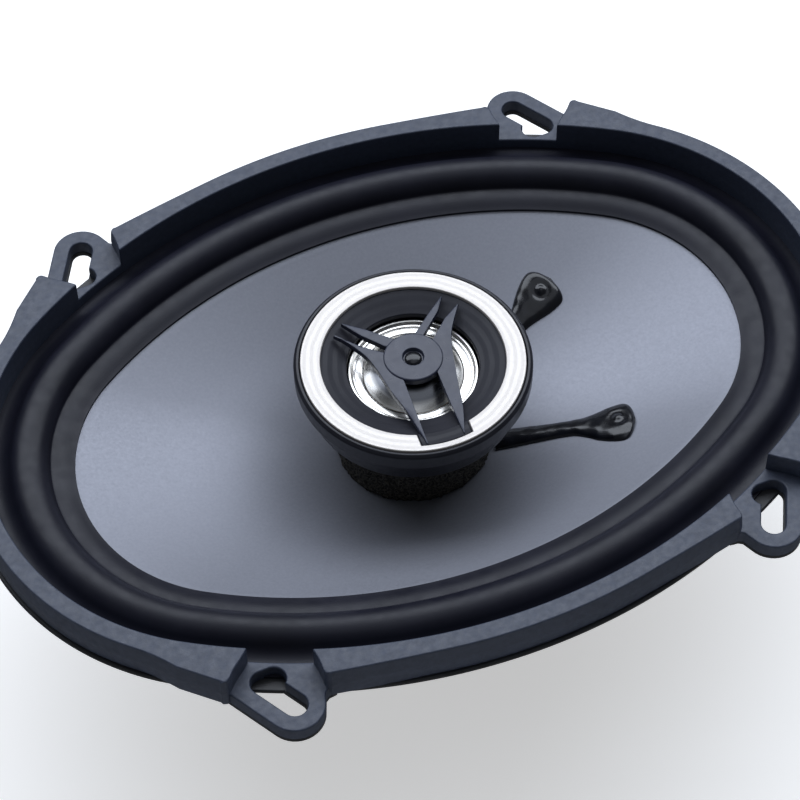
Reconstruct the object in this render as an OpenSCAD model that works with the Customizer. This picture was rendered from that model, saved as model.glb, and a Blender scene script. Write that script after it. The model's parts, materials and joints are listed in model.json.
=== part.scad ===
// Oval coaxial car speaker, 5x7 / 6x8 inch class, in millimetres.
// Origin: middle of the four flange slots, on the flange's rear (mounting) face.
// +X is the long axis of the oval, +Y the short axis, +Z the listening side.

/* [Frame] */
// Length of the steel flange along X
flange_long = 205; // [203:1:208]
// Distance from the middle to the centre of each end arc of the oval
end_centre = 42; // [41.4:0.6:43.2]
// Thickness of the pressed steel sheet
sheet_t = 1.2; // [1:0.1:1.4]

/* [Fixing slots] */
// Half the width of a fixing slot
slot_r = 2.4; // [2.3:0.1:2.5]
// X of the outer end of each slot's long leg
slot_out_x = 55.9; // [55.5:0.1:56.3]
// Y of the outer end of each slot's long leg
slot_out_y = 66.6; // [66.2:0.1:67]
// X of the corner where the slot's two legs meet
slot_corner_x = 60.1; // [59.8:0.1:60.4]
// Y of the short leg, which runs along X
slot_corner_y = 59.1; // [58.8:0.1:59.4]
// Distance between the end centres of the short leg
slot_leg = 2.4; // [2.2:0.1:2.8]
// Radius of the ear round the slot
ear_r = 6.4; // [6:0.1:6.8]

/* [Trim ring] */
// Height of the ring's top face
trim_top = 10; // [9:0.1:10.4]
// Height of the ears' top face
ear_top = 4.5; // [4:0.1:5]
// How far the ring's top face lies inside the flange's edge
trim_out = 0.8; // [0.6:0.1:1]
// Width of the ring's top face
trim_w = 4.2; // [4:0.1:4.6]

/* [Cone and motor] */
// Inner diameter of the voice coil former
coil_d = 25.2; // [25:0.1:25.4]
// Depth of the cone's neck below the flange's rear face
neck_depth = 19.5; // [18.5:0.5:20]
// Outer diameter of the ferrite ring
magnet_d = 80; // [76:1:84]
// Thickness of the ferrite ring
magnet_t = 14; // [12:1:16]

/* [Tweeter] */
// Outer diameter of the silver ring
ring_d = 50.5; // [50:0.1:51]
// Height of the silver ring's face
ring_top = 12.8; // [12:0.1:13]
// Diameter of the dome
dome_d = 22.4; // [22:0.1:22.6]

/* [Hidden] */
$fn = 96;
eps = 0.01;

// The oval is four arcs: two ends, two sides. Every outline of the speaker is this
// oval moved inwards by an inset, so all of them share the same four centres.
// The centres make a right triangle of 60, 91 and 109 parts, so the arcs meet smoothly.
side_centre = end_centre * 91 / 60;
join_angle = atan(60 / 91);
end_r = flange_long / 2 - end_centre;
side_r = end_r + end_centre * 109 / 60;

// Insets from the flange's outer edge
trim_in = trim_out + trim_w;
wall_bulge = 0.3;     // outermost line of the trim ring's drafted wall
bulge_z = 6;
rubber_out = 3;       // outer edge of the surround's flat rim
roll_out = 8.9;       // where the half roll starts
roll_in = 18.3;       // where the half roll ends
band_in = 23.6;       // inner edge of the surround's glued band
collar_top = 9.8;     // inner face of the basket's collar at the flange
collar_foot = 15;     // inner face of the collar at its foot
collar_z = -11;

rubber_t = 0.6;
band_z = -0.3;        // underside of the band at its inner edge
crease_z = 1.2;       // underside of the band at the crease
cone_t = 0.5;
glue = 0.15;          // room for glue between the band and the cone
cone_rim = roll_in + 0.4;

// Stack of the motor, from the front down
seat_z = -33;
seat_r = 28;
ledge_z = -25.6;
ledge_in = 30.5;
dish_r = 38;
plate_r = 34;
plate_t = 5;
top_plate_z = seat_z - sheet_t - plate_t;
magnet_z = top_plate_z - magnet_t;
back_z = magnet_z - plate_t;
gap_r = 14;
pole_r = 12;
pole_top = seat_z - 0.7;
former_in = coil_d / 2;
former_out = former_in + 0.25;
winding_out = former_out + 0.65;
winding_h = 10;
winding_mid = top_plate_z + plate_t / 2;
neck_r = former_out + 0.1;
spider_in = former_out + 0.15;
spider_out = 36;
bore_r = 3.05;
spigot_r = 3;
wire_bore_r = 1.7;
rivet_r = 1.6;
rivet_ring = 22;

// Tweeter
post_r = 4.5;
pod_floor = 0;
pod_wall = 1.6;
ring_t = 0.8;
ring_in = 20.8;
ring_seat = ring_top - ring_t;
throat_r = 14.9;
throat_z = 10.4;
dome_r = dome_d / 2;
dome_base = 7.7;
dome_h = 3.2;
cup_r = 13.2;
cup_in = 11.9;
hub_r = 6.7;
guard_t = 1.5;
// Outlines of the guard's webs, each from one blade's tip to the other and back by the hub
guard_webs = [
    [[-13.8, 13], [-11.1, 8.2], [-9.4, 3.9], [-8.6, -1.5], [-8.1, -8], [-7.1, -15], [-6.5, -22.4],
        [-5.6, -15], [-3.9, -4.6], [-0.6, -1], [-4.6, 3.4], [-9.4, 7.6]],
    [[15.6, 10.2], [12, 5.2], [9.6, 0.6], [7.8, -4.9], [5.8, -12], [4, -18.2], [2.1, -23],
        [2.4, -15], [3.2, -5], [0.8, -1], [5.2, 2.3], [10.9, 7.3]],
    [[12.9, 13.6], [8.2, 10.2], [2.6, 5.6], [-1.6, 5.9], [-6.2, 11.2], [-10.9, 15.5],
        [-8.3, 10.1], [-4, 4.2], [0, 1], [4, 4], [10.4, 9.9]]];
notch_angle = -94.8;
notch_w = 12;
notch_depth = 3;

// Leads
lead_angle = 26;
bulb_r = 46.6;
lead_r = 0.5;
arm_list = [0, 55, 125, 180, 235, 305];
arm_w = 14;

// Terminal board, measured from the middle of its upper face
board_x = 61;
board_z = -24.8;
board_t = 1.6;
board_rivet_x = 3.6;
terminal_y = 9.8;
tab_t = 0.8;
tab_drop = 10;
rivet_head = 0.7;
cap_r = 2.5;
cap_l = 10.5;
cap_x = -7.5;
cap_y = 4.75;

// Radius of the oval with this inset, in the direction of angle a
function oval_radius(a, inset) =
    let (c = abs(cos(a)), s = abs(sin(a)), re = end_r - inset, rs = side_r - inset,
        t = end_centre * c + sqrt(max(0, re * re - pow(end_centre * s, 2))),
        on_end = atan2(t * s, t * c - end_centre) <= 90 - join_angle)
    on_end ? t : -side_centre * s + sqrt(rs * rs - pow(side_centre * c, 2));

// Height of the cone's upper face at point (x, y)
function cone_height(x, y) =
    let (rho = norm([x, y]), edge = oval_radius(atan2(y, x), band_in))
    -neck_depth + (neck_depth + band_z - glue) * (rho - neck_r) / (edge - neck_r);

// Ring of points at a fixed inset, n points, at height z
function oval_ring(inset, z, n) =
    [for (i = [0 : n - 1]) let (a = i * 360 / n, r = oval_radius(a, inset))
        [r * cos(a), r * sin(a), z]];
function round_ring(r, z, n) =
    [for (i = [0 : n - 1]) let (a = i * 360 / n) [r * cos(a), r * sin(a), z]];

// Closed skin through a list of rings, the last joined to the first
module ring_solid(rings) {
    n = len(rings[0]);
    m = len(rings);
    polyhedron(points = [for (r = rings) each r],
        faces = [for (j = [0 : m - 1], i = [0 : n - 1])
            let (k = (i + 1) % n, l = (j + 1) % m)
            each [[j * n + i, j * n + k, l * n + i], [j * n + k, l * n + k, l * n + i]]],
        convexity = 4);
}

// Tube of radius r swept through a smooth curve that passes near the points p
function curve(p, m) =
    [for (i = [0 : len(p) - 2], j = [0 : m - 1])
        let (a = p[max(0, i - 1)], b = p[i], c = p[i + 1], d = p[min(len(p) - 1, i + 2)], t = j / m)
        b + t * (c - a) / 2 + t * t * (a - 2.5 * b + 2 * c - d / 2)
        + t * t * t * (-a / 2 + 1.5 * b - 1.5 * c + d / 2)];
module wire(p, r, m = 4, n = 8) {
    q = concat(curve(p, m), [p[len(p) - 1]]);
    k = len(q);
    rings = [for (i = [0 : k - 1])
        let (d = q[min(k - 1, i + 1)] - q[max(0, i - 1)], t = d / norm(d),
            ref = abs(t[1]) > 0.9 ? [1, 0, 0] : [0, 1, 0], u0 = cross(ref, t), u = u0 / norm(u0),
            v = cross(t, u))
        [for (j = [0 : n - 1]) q[i] + r * (cos(j * 360 / n) * u + sin(j * 360 / n) * v)]];
    polyhedron(points = [for (g = rings) each g],
        faces = concat([[for (j = [n - 1 : -1 : 0]) j]],
            [for (i = [0 : k - 2], j = [0 : n - 1]) let (l = (j + 1) % n)
                each [[i * n + j, i * n + l, (i + 1) * n + j],
                    [i * n + l, (i + 1) * n + l, (i + 1) * n + j]]],
            [[for (j = [0 : n - 1]) (k - 1) * n + j]]),
        convexity = 6);
}

// Sweeps a profile, drawn with x = -inset and y = height, round the oval's four arcs
module oval_sweep() {
    tall = 200;
    corner = [4 * end_centre, 3 * side_centre];
    for (m = [0, 1]) {
        mirror([m, 0, 0]) intersection() {
            translate([end_centre, 0, 0]) rotate_extrude() translate([end_r, 0]) children();
            translate([0, 0, -tall / 2]) linear_extrude(tall)
                polygon([[end_centre, 0], [corner[0], -corner[1]], corner]);
        }
        mirror([0, m, 0]) intersection() {
            translate([0, -side_centre, 0]) rotate_extrude() translate([side_r, 0]) children();
            translate([0, 0, -tall / 2]) linear_extrude(tall)
                polygon([[0, -side_centre], corner, [-corner[0], corner[1]]]);
        }
    }
}

// Rectangle of a profile between two insets and two heights
module band(inset_a, inset_b, z_a, z_b) {
    polygon([[-inset_a, z_a], [-inset_a, z_b], [-inset_b, z_b], [-inset_b, z_a]]);
}

module at_corners() {
    for (mx = [0, 1], my = [0, 1]) mirror([mx, 0, 0]) mirror([0, my, 0]) children();
}

module stadium(a, b, r) {
    d = b - a;
    translate(a) circle(r);
    translate(b) circle(r);
    translate(a) rotate(atan2(d[1], d[0])) translate([0, -r]) square([norm(d), 2 * r]);
}

slot_a = [slot_out_x, slot_out_y];
slot_b = [slot_corner_x, slot_corner_y];
slot_c = [slot_corner_x - slot_leg, slot_corner_y];
slot_dir = (slot_b - slot_a) / norm(slot_b - slot_a);
ear_side = slot_a + ear_r * [-slot_dir[1], slot_dir[0]];
// Where the ear's outline runs in under the trim ring
ear_root = [[71, 49.5], [50, 59.5], [46, 61], [46, 65.9], [48.9, 66.4]];
// Corner gap of the trim ring: its two end faces and two points outside the oval
gap_x = 48.7;
corner_gap = [[gap_x, 50], [gap_x, 90], [100, 90], [57.7, 50.1]];
// Beside the gap, the ring's segments widen towards the ear
side_flare = [[23.6, 70.25], [41.4, 67], [gap_x, 65.5], [gap_x, 61], [30, 66]];
end_flare = [[62.9, 54.7], [66.4, 58.3], [67.2, 59.7], [68.2, 59.1], [75.8, 50.2], [76, 46.5], [70, 50.5]];

module slot_shape(r) {
    stadium(slot_a, slot_b, r);
    stadium(slot_c, slot_b, r);
}

module ear_shape() {
    translate(slot_a) circle(ear_r);
    polygon(concat([ear_side, ear_side + 20.5 * slot_dir], ear_root,
        [slot_a + ear_r * [cos(160), sin(160)]]));
}

// Channel section from the spider ledge up to the collar's foot, in direction a
module basket_arm(a) {
    top = oval_radius(a, collar_foot) + 0.6;
    foot = dish_r - 1.5;
    low = collar_z - 0.4;
    cheek = 4;
    rotate([90, 0, a]) {
        translate([0, 0, -arm_w / 2]) linear_extrude(arm_w)
            polygon([[foot, ledge_z], [foot, ledge_z - sheet_t], [top, low], [top, low + 1.6]]);
        for (s = [0, 1]) mirror([0, 0, s]) translate([0, 0, arm_w / 2 - sheet_t]) linear_extrude(sheet_t)
            polygon([[foot, ledge_z], [foot, ledge_z - cheek], [foot + 6, ledge_z - cheek],
                [top - cheek, low - 1.8], [top, low], [top, low + 1.6]]);
    }
}

// Flat land under the +X arm that carries the terminal board
module board_bracket() {
    half_l = 9;
    cheek_top = [-19.5, -14.5];
    difference() {
        translate([board_x - half_l, -arm_w / 2, board_z]) cube([2 * half_l, arm_w, sheet_t]);
        translate([board_x + board_rivet_x, 0, board_z - 1]) cylinder(h = 4, r = 1.5);
    }
    for (y = [arm_w / 2, sheet_t - arm_w / 2]) translate([0, y, 0]) rotate([90, 0, 0]) linear_extrude(sheet_t)
        polygon([[board_x - half_l, board_z], [board_x + half_l, board_z],
            [board_x + half_l, cheek_top[1]], [board_x - half_l, cheek_top[0]]]);
}

module basket() color("#1a1a1c") {
    difference() {
        union() {
            oval_sweep() polygon([[0, 0], [0, sheet_t], [-collar_top, sheet_t],
                [-collar_top, 0], [-collar_foot, collar_z], [-collar_foot + sheet_t, collar_z],
                [-collar_top + 2, 0]]);
            at_corners() linear_extrude(sheet_t) ear_shape();
        }
        at_corners() translate([0, 0, -1]) linear_extrude(sheet_t + 2) slot_shape(slot_r);
    }
    for (a = arm_list) basket_arm(a);
    board_bracket();
    difference() {
        rotate_extrude() polygon([[dish_r, ledge_z], [dish_r, ledge_z - sheet_t],
            [ledge_in, ledge_z - sheet_t], [seat_r, seat_z - sheet_t], [pole_r + 3, seat_z - sheet_t],
            [pole_r + 3, seat_z], [seat_r - 1, seat_z], [ledge_in - 1, ledge_z]]);
        for (a = [45 : 90 : 315]) rotate([0, 0, a]) translate([rivet_ring, 0, seat_z - sheet_t - 1])
            cylinder(h = sheet_t + 2, r = rivet_r);
    }
}

module trim_ring() color("#3c414b") difference() {
    union() {
        oval_sweep() band(trim_out, trim_in, sheet_t, ear_top);
        difference() {
            oval_sweep() polygon([[-trim_out, sheet_t], [-wall_bulge, bulge_z], [-trim_out, trim_top],
                [-trim_in, trim_top], [-trim_in, sheet_t]]);
            at_corners() translate([0, 0, ear_top]) linear_extrude(trim_top)
                polygon(corner_gap);
        }
        at_corners() translate([0, 0, sheet_t]) {
            linear_extrude(ear_top - sheet_t) ear_shape();
            linear_extrude(trim_top - sheet_t) polygon(side_flare);
            linear_extrude(trim_top - sheet_t) polygon(end_flare);
        }
    }
    oval_sweep() band(rubber_out - glue, trim_in + 5, 0, sheet_t + rubber_t + glue);
    at_corners() translate([0, 0, -1]) linear_extrude(trim_top) slot_shape(slot_r + 0.3);
}

// Flat rim, half roll and the band that is glued on the cone's edge, as one strip
module surround_profile() {
    r = (roll_in - roll_out) / 2;
    steps = 16;
    function arc(q, dir) = [for (i = [0 : steps]) let (a = 180 * (dir > 0 ? i : steps - i) / steps)
        [-roll_out - r + q * cos(a), sheet_t + q * sin(a)]];
    polygon(concat([[-rubber_out, sheet_t], [-rubber_out, sheet_t + rubber_t],
        [-roll_out + 0.05, sheet_t + rubber_t]],
        [for (q = arc(r, 1)) if (q[1] > sheet_t + rubber_t) q],
        [[-roll_in - 0.05, sheet_t + rubber_t], [-band_in, band_z + rubber_t], [-band_in, band_z],
        [-roll_in, sheet_t]], arc(r - rubber_t, -1), [[-roll_out, sheet_t]]));
}

module surround() color("#17171a") oval_sweep() surround_profile();

module cone() color("#9a9ca3") {
    n = 120;
    low = [0, 0, -cone_t];
    rim_z = crease_z + (band_z - crease_z) * (cone_rim - roll_in) / (band_in - roll_in) - glue;
    top_rings = [oval_ring(cone_rim, rim_z, n), oval_ring(band_in, band_z - glue, n),
        round_ring(neck_r, -neck_depth, n)];
    under = [for (i = [2, 1, 0]) [for (p = top_rings[i]) p + low]];
    ring_solid(concat(top_rings, under));
}

module voice_coil_former() color("#b8894a") translate([0, 0, winding_mid - winding_h / 2 - 1])
    difference() {
        h = -neck_depth + 1.5 - (winding_mid - winding_h / 2 - 1);
        cylinder(h = h, r = former_out);
        translate([0, 0, -1]) cylinder(h = h + 2, r = former_in);
    }

module voice_coil_winding() color("#b5602a") translate([0, 0, winding_mid - winding_h / 2])
    difference() {
        cylinder(h = winding_h, r = winding_out);
        translate([0, 0, -1]) cylinder(h = winding_h + 2, r = former_out);
    }

module spider() color("#b0892f") rotate_extrude() {
    waves = 4;
    t = 0.5;
    flat = 4;
    z0 = ledge_z + t / 2;
    span = spider_out - flat - spider_in - 2;
    steps = 40;
    mid = concat([[spider_in, z0]],
        [for (i = [0 : steps]) [spider_in + 2 + span * i / steps,
            z0 + 1.1 * (1 - cos(360 * waves * i / steps)) / 2]], [[spider_out, z0]]);
    polygon(concat([for (p = mid) p + [0, t / 2]],
        [for (i = [len(mid) - 1 : -1 : 0]) mid[i] - [0, t / 2]]));
}

module coil_lead_cement() color("#08080a") for (s = [-1, 1]) rotate([0, 0, s * lead_angle]) {
    n = 12;
    // Height above the cone and half width of the cement along its length
    stations = [[19, 0.9, 1.6], [24, 1, 1.5], [30, 1, 1.5], [36, 1.2, 1.7], [40, 1.5, 2.5],
        [43.5, 2, 4], [47, 2.3, 4.6], [50, 1.9, 3.7], [52, 1, 1.7]];
    rings = [for (q = stations) [for (i = [0 : n - 1])
        let (a = 180 * i / (n - 1), y = q[2] * cos(a),
            z = cone_height(q[0] * cos(lead_angle) - s * y * sin(lead_angle),
                s * q[0] * sin(lead_angle) + y * cos(lead_angle)))
        [q[0], y, z + 0.12 + q[1] * sin(a)]]];
    m = len(rings);
    polyhedron(points = [for (g = rings) each g],
        faces = concat([[for (j = [0 : n - 1]) j]],
            [for (i = [0 : m - 2], j = [0 : n - 1]) let (l = (j + 1) % n)
                each [[i * n + j, (i + 1) * n + j, i * n + l], [i * n + l, (i + 1) * n + j, (i + 1) * n + l]]],
            [[for (j = [n - 1 : -1 : 0]) (m - 1) * n + j]]),
        convexity = 4);
}

module cone_eyelets() color("#c9a04a") for (s = [-1, 1]) {
    x = bulb_r * cos(lead_angle);
    y = s * bulb_r * sin(lead_angle);
    translate([x, y, cone_height(x, y) - cone_t - 1.6]) difference() {
        cylinder(h = 1, r = 1.6);
        translate([0, 0, -1]) cylinder(h = 3, r = 0.7);
    }
}

module tinsel_leads() color("#b87333") for (s = [-1, 1]) {
    x = bulb_r * cos(lead_angle);
    y = bulb_r * sin(lead_angle);
    wire([[x, s * y, cone_height(x, y) - cone_t - 1.7], [x, s * y, -12.5], [x + 2, s * (y - 2), -17],
        [x + 7, s * (y - 6), -20.5], [board_x - 5, s * (terminal_y + 2.2), -21.6],
        [board_x - 1, s * terminal_y, board_z + 1.3]], lead_r);
}

module top_plate() color("#8f9196") difference() {
    translate([0, 0, top_plate_z]) cylinder(h = plate_t, r = plate_r);
    translate([0, 0, top_plate_z - 1]) cylinder(h = plate_t + 2, r = gap_r);
    for (a = [45 : 90 : 315]) rotate([0, 0, a]) translate([rivet_ring, 0, top_plate_z - 1])
        cylinder(h = plate_t + 2, r = rivet_r);
}

module ferrite_magnet() color("#2b2b2e") difference() {
    translate([0, 0, magnet_z]) cylinder(h = magnet_t, r = magnet_d / 2);
    translate([0, 0, magnet_z - 1]) cylinder(h = magnet_t + 2, r = gap_r + 4);
}

module back_plate() color("#8f9196") difference() {
    union() {
        translate([0, 0, back_z]) cylinder(h = plate_t, r = plate_r);
        translate([0, 0, magnet_z]) cylinder(h = pole_top - magnet_z, r = pole_r);
    }
    translate([0, 0, back_z - 1]) cylinder(h = pole_top - back_z + 2, r = bore_r);
    translate([0, 0, back_z - 1]) cylinder(h = 4.6, r = 7);
    translate([0, -1.7, back_z - 1]) cube([plate_r + 1, 3.4, 3]);
}

module plate_rivets() color("#a8aab0") for (a = [45 : 90 : 315]) rotate([0, 0, a])
    translate([rivet_ring, 0, 0]) {
        translate([0, 0, top_plate_z + 0.2]) cylinder(h = seat_z - top_plate_z, r = rivet_r - 0.05);
        translate([0, 0, seat_z]) cylinder(h = 1, r = 2.8);
    }

module tweeter_post() color("#2a2a2d") difference() {
    union() {
        translate([0, 0, pole_top]) cylinder(h = pod_floor - pole_top - 2, r = post_r);
        translate([0, 0, pod_floor - 2]) cylinder(h = 2, r = 9);
        translate([0, 0, back_z + 2.2]) cylinder(h = pole_top - back_z, r = spigot_r);
        translate([0, 0, pod_floor - eps]) cylinder(h = 1.2, r = 4);
    }
    translate([0, 0, back_z]) cylinder(h = pod_floor - back_z + 3, r = wire_bore_r);
}

module post_nut() color("#c9a04a") translate([0, 0, back_z + 2.4]) difference() {
    cylinder(h = 1.2, r = 5.6, $fn = 6);
    translate([0, 0, -1]) cylinder(h = 4, r = spigot_r + 0.03);
}

module foam_dust_ring() color("#111112") rotate_extrude() polygon([[13.6, -neck_depth + 0.9],
    [17.8, -neck_depth + 2.8], [20, -1.4], [13.6, -1.4]]);

module tweeter_housing() color("#222328") rotate_extrude() polygon([[4.1, pod_floor], [9.2, pod_floor],
    [12, pod_floor - 1.2], [21.5, pod_floor - 1.2], [24, pod_floor + 0.6], [25.6, 4.5], [26.2, 8],
    [26.7, 9.6], [26.8, 10.8], [26.5, 12], [26, 12.6], [25.5, 12.6], [25.5, 11],
    [24.2, 11], [24.2, 4.5], [22.6, pod_floor + pod_wall], [4.1, pod_floor + pod_wall]]);

module silver_ring() color("#e8e9ec") difference() {
    translate([0, 0, ring_seat]) cylinder(h = ring_t, r = ring_d / 2);
    translate([0, 0, ring_seat - 1]) cylinder(h = ring_t + 2, r = ring_in);
    rotate([0, 0, notch_angle]) translate([ring_in - 2, -notch_w / 2, ring_seat - 1])
        cube([notch_depth + 2, notch_w, ring_t + 2]);
}

module tweeter_funnel() color("#0f0f11") rotate_extrude() polygon([[throat_r, throat_z - 1.4],
    [throat_r, throat_z], [18.6, ring_seat], [ring_d / 2, ring_seat], [ring_d / 2, ring_seat - 1],
    [23, ring_seat - 1], [22.4, 9.4], [17, 9]]);

// Hub with a dimple, and three flat webs that each join two pointed blades
module tweeter_guard() color("#0b0b0d") translate([0, 0, ring_seat]) {
    difference() {
        cylinder(h = guard_t + 0.3, r = hub_r);
        translate([0, 0, guard_t - 0.3]) cylinder(h = 2, r = 2.2);
    }
    for (web = guard_webs) linear_extrude(guard_t) polygon(web);
}

module tweeter_dome() color("#d8dade") {
    h = dome_h;
    big = (dome_r * dome_r + h * h) / (2 * h);
    translate([0, 0, dome_base]) difference() {
        intersection() {
            translate([0, 0, h - big]) sphere(big);
            cylinder(h = h + 1, r = dome_r);
        }
        intersection() {
            translate([0, 0, h - big]) sphere(big - 0.25);
            translate([0, 0, -1]) cylinder(h = h + 1, r = dome_r - 0.3);
        }
    }
}

module tweeter_voice_coil() color("#b5602a") translate([0, 0, 5.7]) difference() {
    cylinder(h = dome_base - 5.7, r = dome_r);
    translate([0, 0, -1]) cylinder(h = 4, r = dome_r - 0.3);
}

module tweeter_surround() color("#8d8f94") rotate_extrude() {
    w = cup_r - 0.1 - dome_r - 0.1;
    translate([dome_r + 0.1 + w / 2, dome_base]) difference() {
        circle(w / 2);
        circle(w / 2 - 0.25);
        translate([-w, -w]) square([2 * w, w]);
    }
}

module diaphragm_ring() color("#c8cacf") translate([0, 0, dome_base]) difference() {
    cylinder(h = 1, r = 14.6);
    translate([0, 0, -1]) cylinder(h = 3, r = cup_r);
}

module tweeter_pole_cup() color("#8f9196") difference() {
    translate([0, 0, pod_floor + pod_wall]) cylinder(h = dome_base - pod_floor - pod_wall, r = 14.6);
    translate([0, 0, pod_floor + pod_wall + 1.5]) cylinder(h = 8, r = cup_in);
    translate([0, 0, pod_floor]) cylinder(h = 8, r = 1.5);
}

module tweeter_magnet() color("#b9bcc2") difference() {
    translate([0, 0, 3.1]) cylinder(h = 2, r = 9.5);
    translate([0, 0, 2]) cylinder(h = 4, r = 1.5);
}

module tweeter_pole_plate() color("#8f9196") difference() {
    translate([0, 0, 5.1]) cylinder(h = 1.6, r = 10.5);
    translate([0, 0, 4]) cylinder(h = 4, r = 1.5);
}

// The terminal board lies flat under the +X arm of the basket
module on_board() {
    translate([board_x, 0, board_z]) children();
}

module terminal_board() color("#5a3a22") on_board() difference() {
    translate([-6, -14, -board_t]) cube([12, 28, board_t]);
    for (s = [-1, 1]) translate([0, s * terminal_y, -board_t - 1]) cylinder(h = board_t + 2, r = 1.25);
    translate([board_rivet_x, 0, -board_t - 1]) cylinder(h = board_t + 2, r = 1.5);
}

// Push-on tab of width w: a riveted foot and a blade bent down
module tab(w) {
    difference() {
        rotate([90, 0, 0]) translate([0, 0, -w / 2]) linear_extrude(w)
            polygon([[-3, -board_t], [5, -board_t], [5, -board_t - tab_drop + 1], [4.6, -board_t - tab_drop],
                [4.4, -board_t - tab_drop], [4.2, -board_t - tab_drop + 1], [4.2, -board_t - tab_t],
                [-3, -board_t - tab_t]]);
        translate([0, 0, -board_t - 2]) cylinder(h = 3, r = 1.25);
        translate([3, 0, -board_t - tab_drop + 3]) rotate([0, 90, 0]) cylinder(h = 3, r = 0.6);
    }
}

module terminal_positive() color("#d8c28a") on_board() translate([0, terminal_y, 0]) tab(4.8);

module terminal_negative() color("#d8c28a") on_board() translate([0, -terminal_y, 0]) tab(2.8);

// Rivet with its axis upright: shank between z_low and z_high, a head beyond each end
module rivet(shank_r, head_r, z_low, z_high) {
    translate([0, 0, z_low]) cylinder(h = z_high - z_low, r = shank_r);
    translate([0, 0, z_high]) cylinder(h = rivet_head, r = head_r);
    translate([0, 0, z_low - rivet_head]) cylinder(h = rivet_head, r = head_r);
}

module terminal_rivets() color("#c9a04a") on_board() for (s = [-1, 1]) translate([0, s * terminal_y, 0])
    rivet(1.2, 1.9, -board_t - tab_t, 0);

module board_rivet() color("#a8aab0") on_board() translate([board_rivet_x, 0, 0])
    rivet(1.45, 2.2, -board_t, sheet_t);

// Glued under the board, its lead on the positive tab's foot
module capacitor() color("#20242c") on_board() {
    axis_z = -board_t - cap_r - 0.05;
    lead = 0.3;
    bend = [cap_x + cap_l + 1.3, cap_y, axis_z];
    tip = [cap_x + cap_l + 0.4, terminal_y - 1.2, -board_t - tab_t - lead - 0.05];
    run = tip - bend;
    translate([cap_x, cap_y, axis_z]) rotate([0, 90, 0]) cylinder(h = cap_l, r = cap_r);
    translate([cap_x + cap_l - 1, cap_y, axis_z]) rotate([0, 90, 0]) cylinder(h = 2.3, r = lead);
    translate(bend) sphere(lead);
    translate(bend) rotate([0, acos(run[2] / norm(run)), atan2(run[1], run[0])])
        cylinder(h = norm(run), r = lead);
}

// The tweeter's two wires run down the hollow post, along the groove under the motor,
// up the side of the magnet and on to the capacitor and the negative tab
module tweeter_wires() color("#a02020") {
    r = 0.6;
    tab_z = board_z - board_t - tab_t - rivet_head - r - 0.05;
    can_z = board_z - board_t - cap_r - 0.05;
    // X, distance from the middle plane, and height of each wire's points
    route = [[0, 0.7, 6.6], [0, 0.7, -20], [0, 0.7, -50], [0, 0.7, -54.5], [1.2, 0.7, -56.4],
        [4, 0.7, -56.9], [20, 0.7, -56.9], [33, 0.7, -56.9], [38, 0.7, -55.8], [41.2, 0.7, -52.5],
        [41.4, 0.8, -45], [42, 1.4, -36], [46, 3, -30.6]];
    wire(concat([for (q = route) [q[0], -q[1], q[2]]],
        [[52, -6, -29.4], [57, -8.8, tab_z - 0.2], [board_x - 0.5, 0.2 - terminal_y, tab_z]]), r, 3);
    wire(concat(route, [[50, 4.3, can_z - 0.4], [board_x + cap_x - 0.1, cap_y, can_z]]), r, 3);
}

basket();
trim_ring();
surround();
cone();
voice_coil_former();
voice_coil_winding();
spider();
coil_lead_cement();
cone_eyelets();
tinsel_leads();
top_plate();
ferrite_magnet();
back_plate();
plate_rivets();
tweeter_post();
post_nut();
foam_dust_ring();
tweeter_housing();
silver_ring();
tweeter_funnel();
tweeter_guard();
tweeter_dome();
tweeter_surround();
tweeter_voice_coil();
diaphragm_ring();
tweeter_pole_cup();
tweeter_magnet();
tweeter_pole_plate();
terminal_board();
terminal_positive();
terminal_negative();
terminal_rivets();
board_rivet();
capacitor();
tweeter_wires();
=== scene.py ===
"""Looks of the oval coaxial car speaker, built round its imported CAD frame.

Lengths here are millimetres in the frame's own axes, and become metres when a piece is made.
The oval is four arcs, so a point on it is given by the direction it faces and its inset,
which is how far it lies inside the flange's outer edge.
"""
import json
from math import acos, asin, atan2, copysign, cos, degrees, exp, hypot, pi, radians, sin, sqrt, tan

import bmesh
import bpy
import numpy as np
from mathutils import Matrix, Vector, noise
from mathutils.geometry import tessellate_polygon


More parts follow.
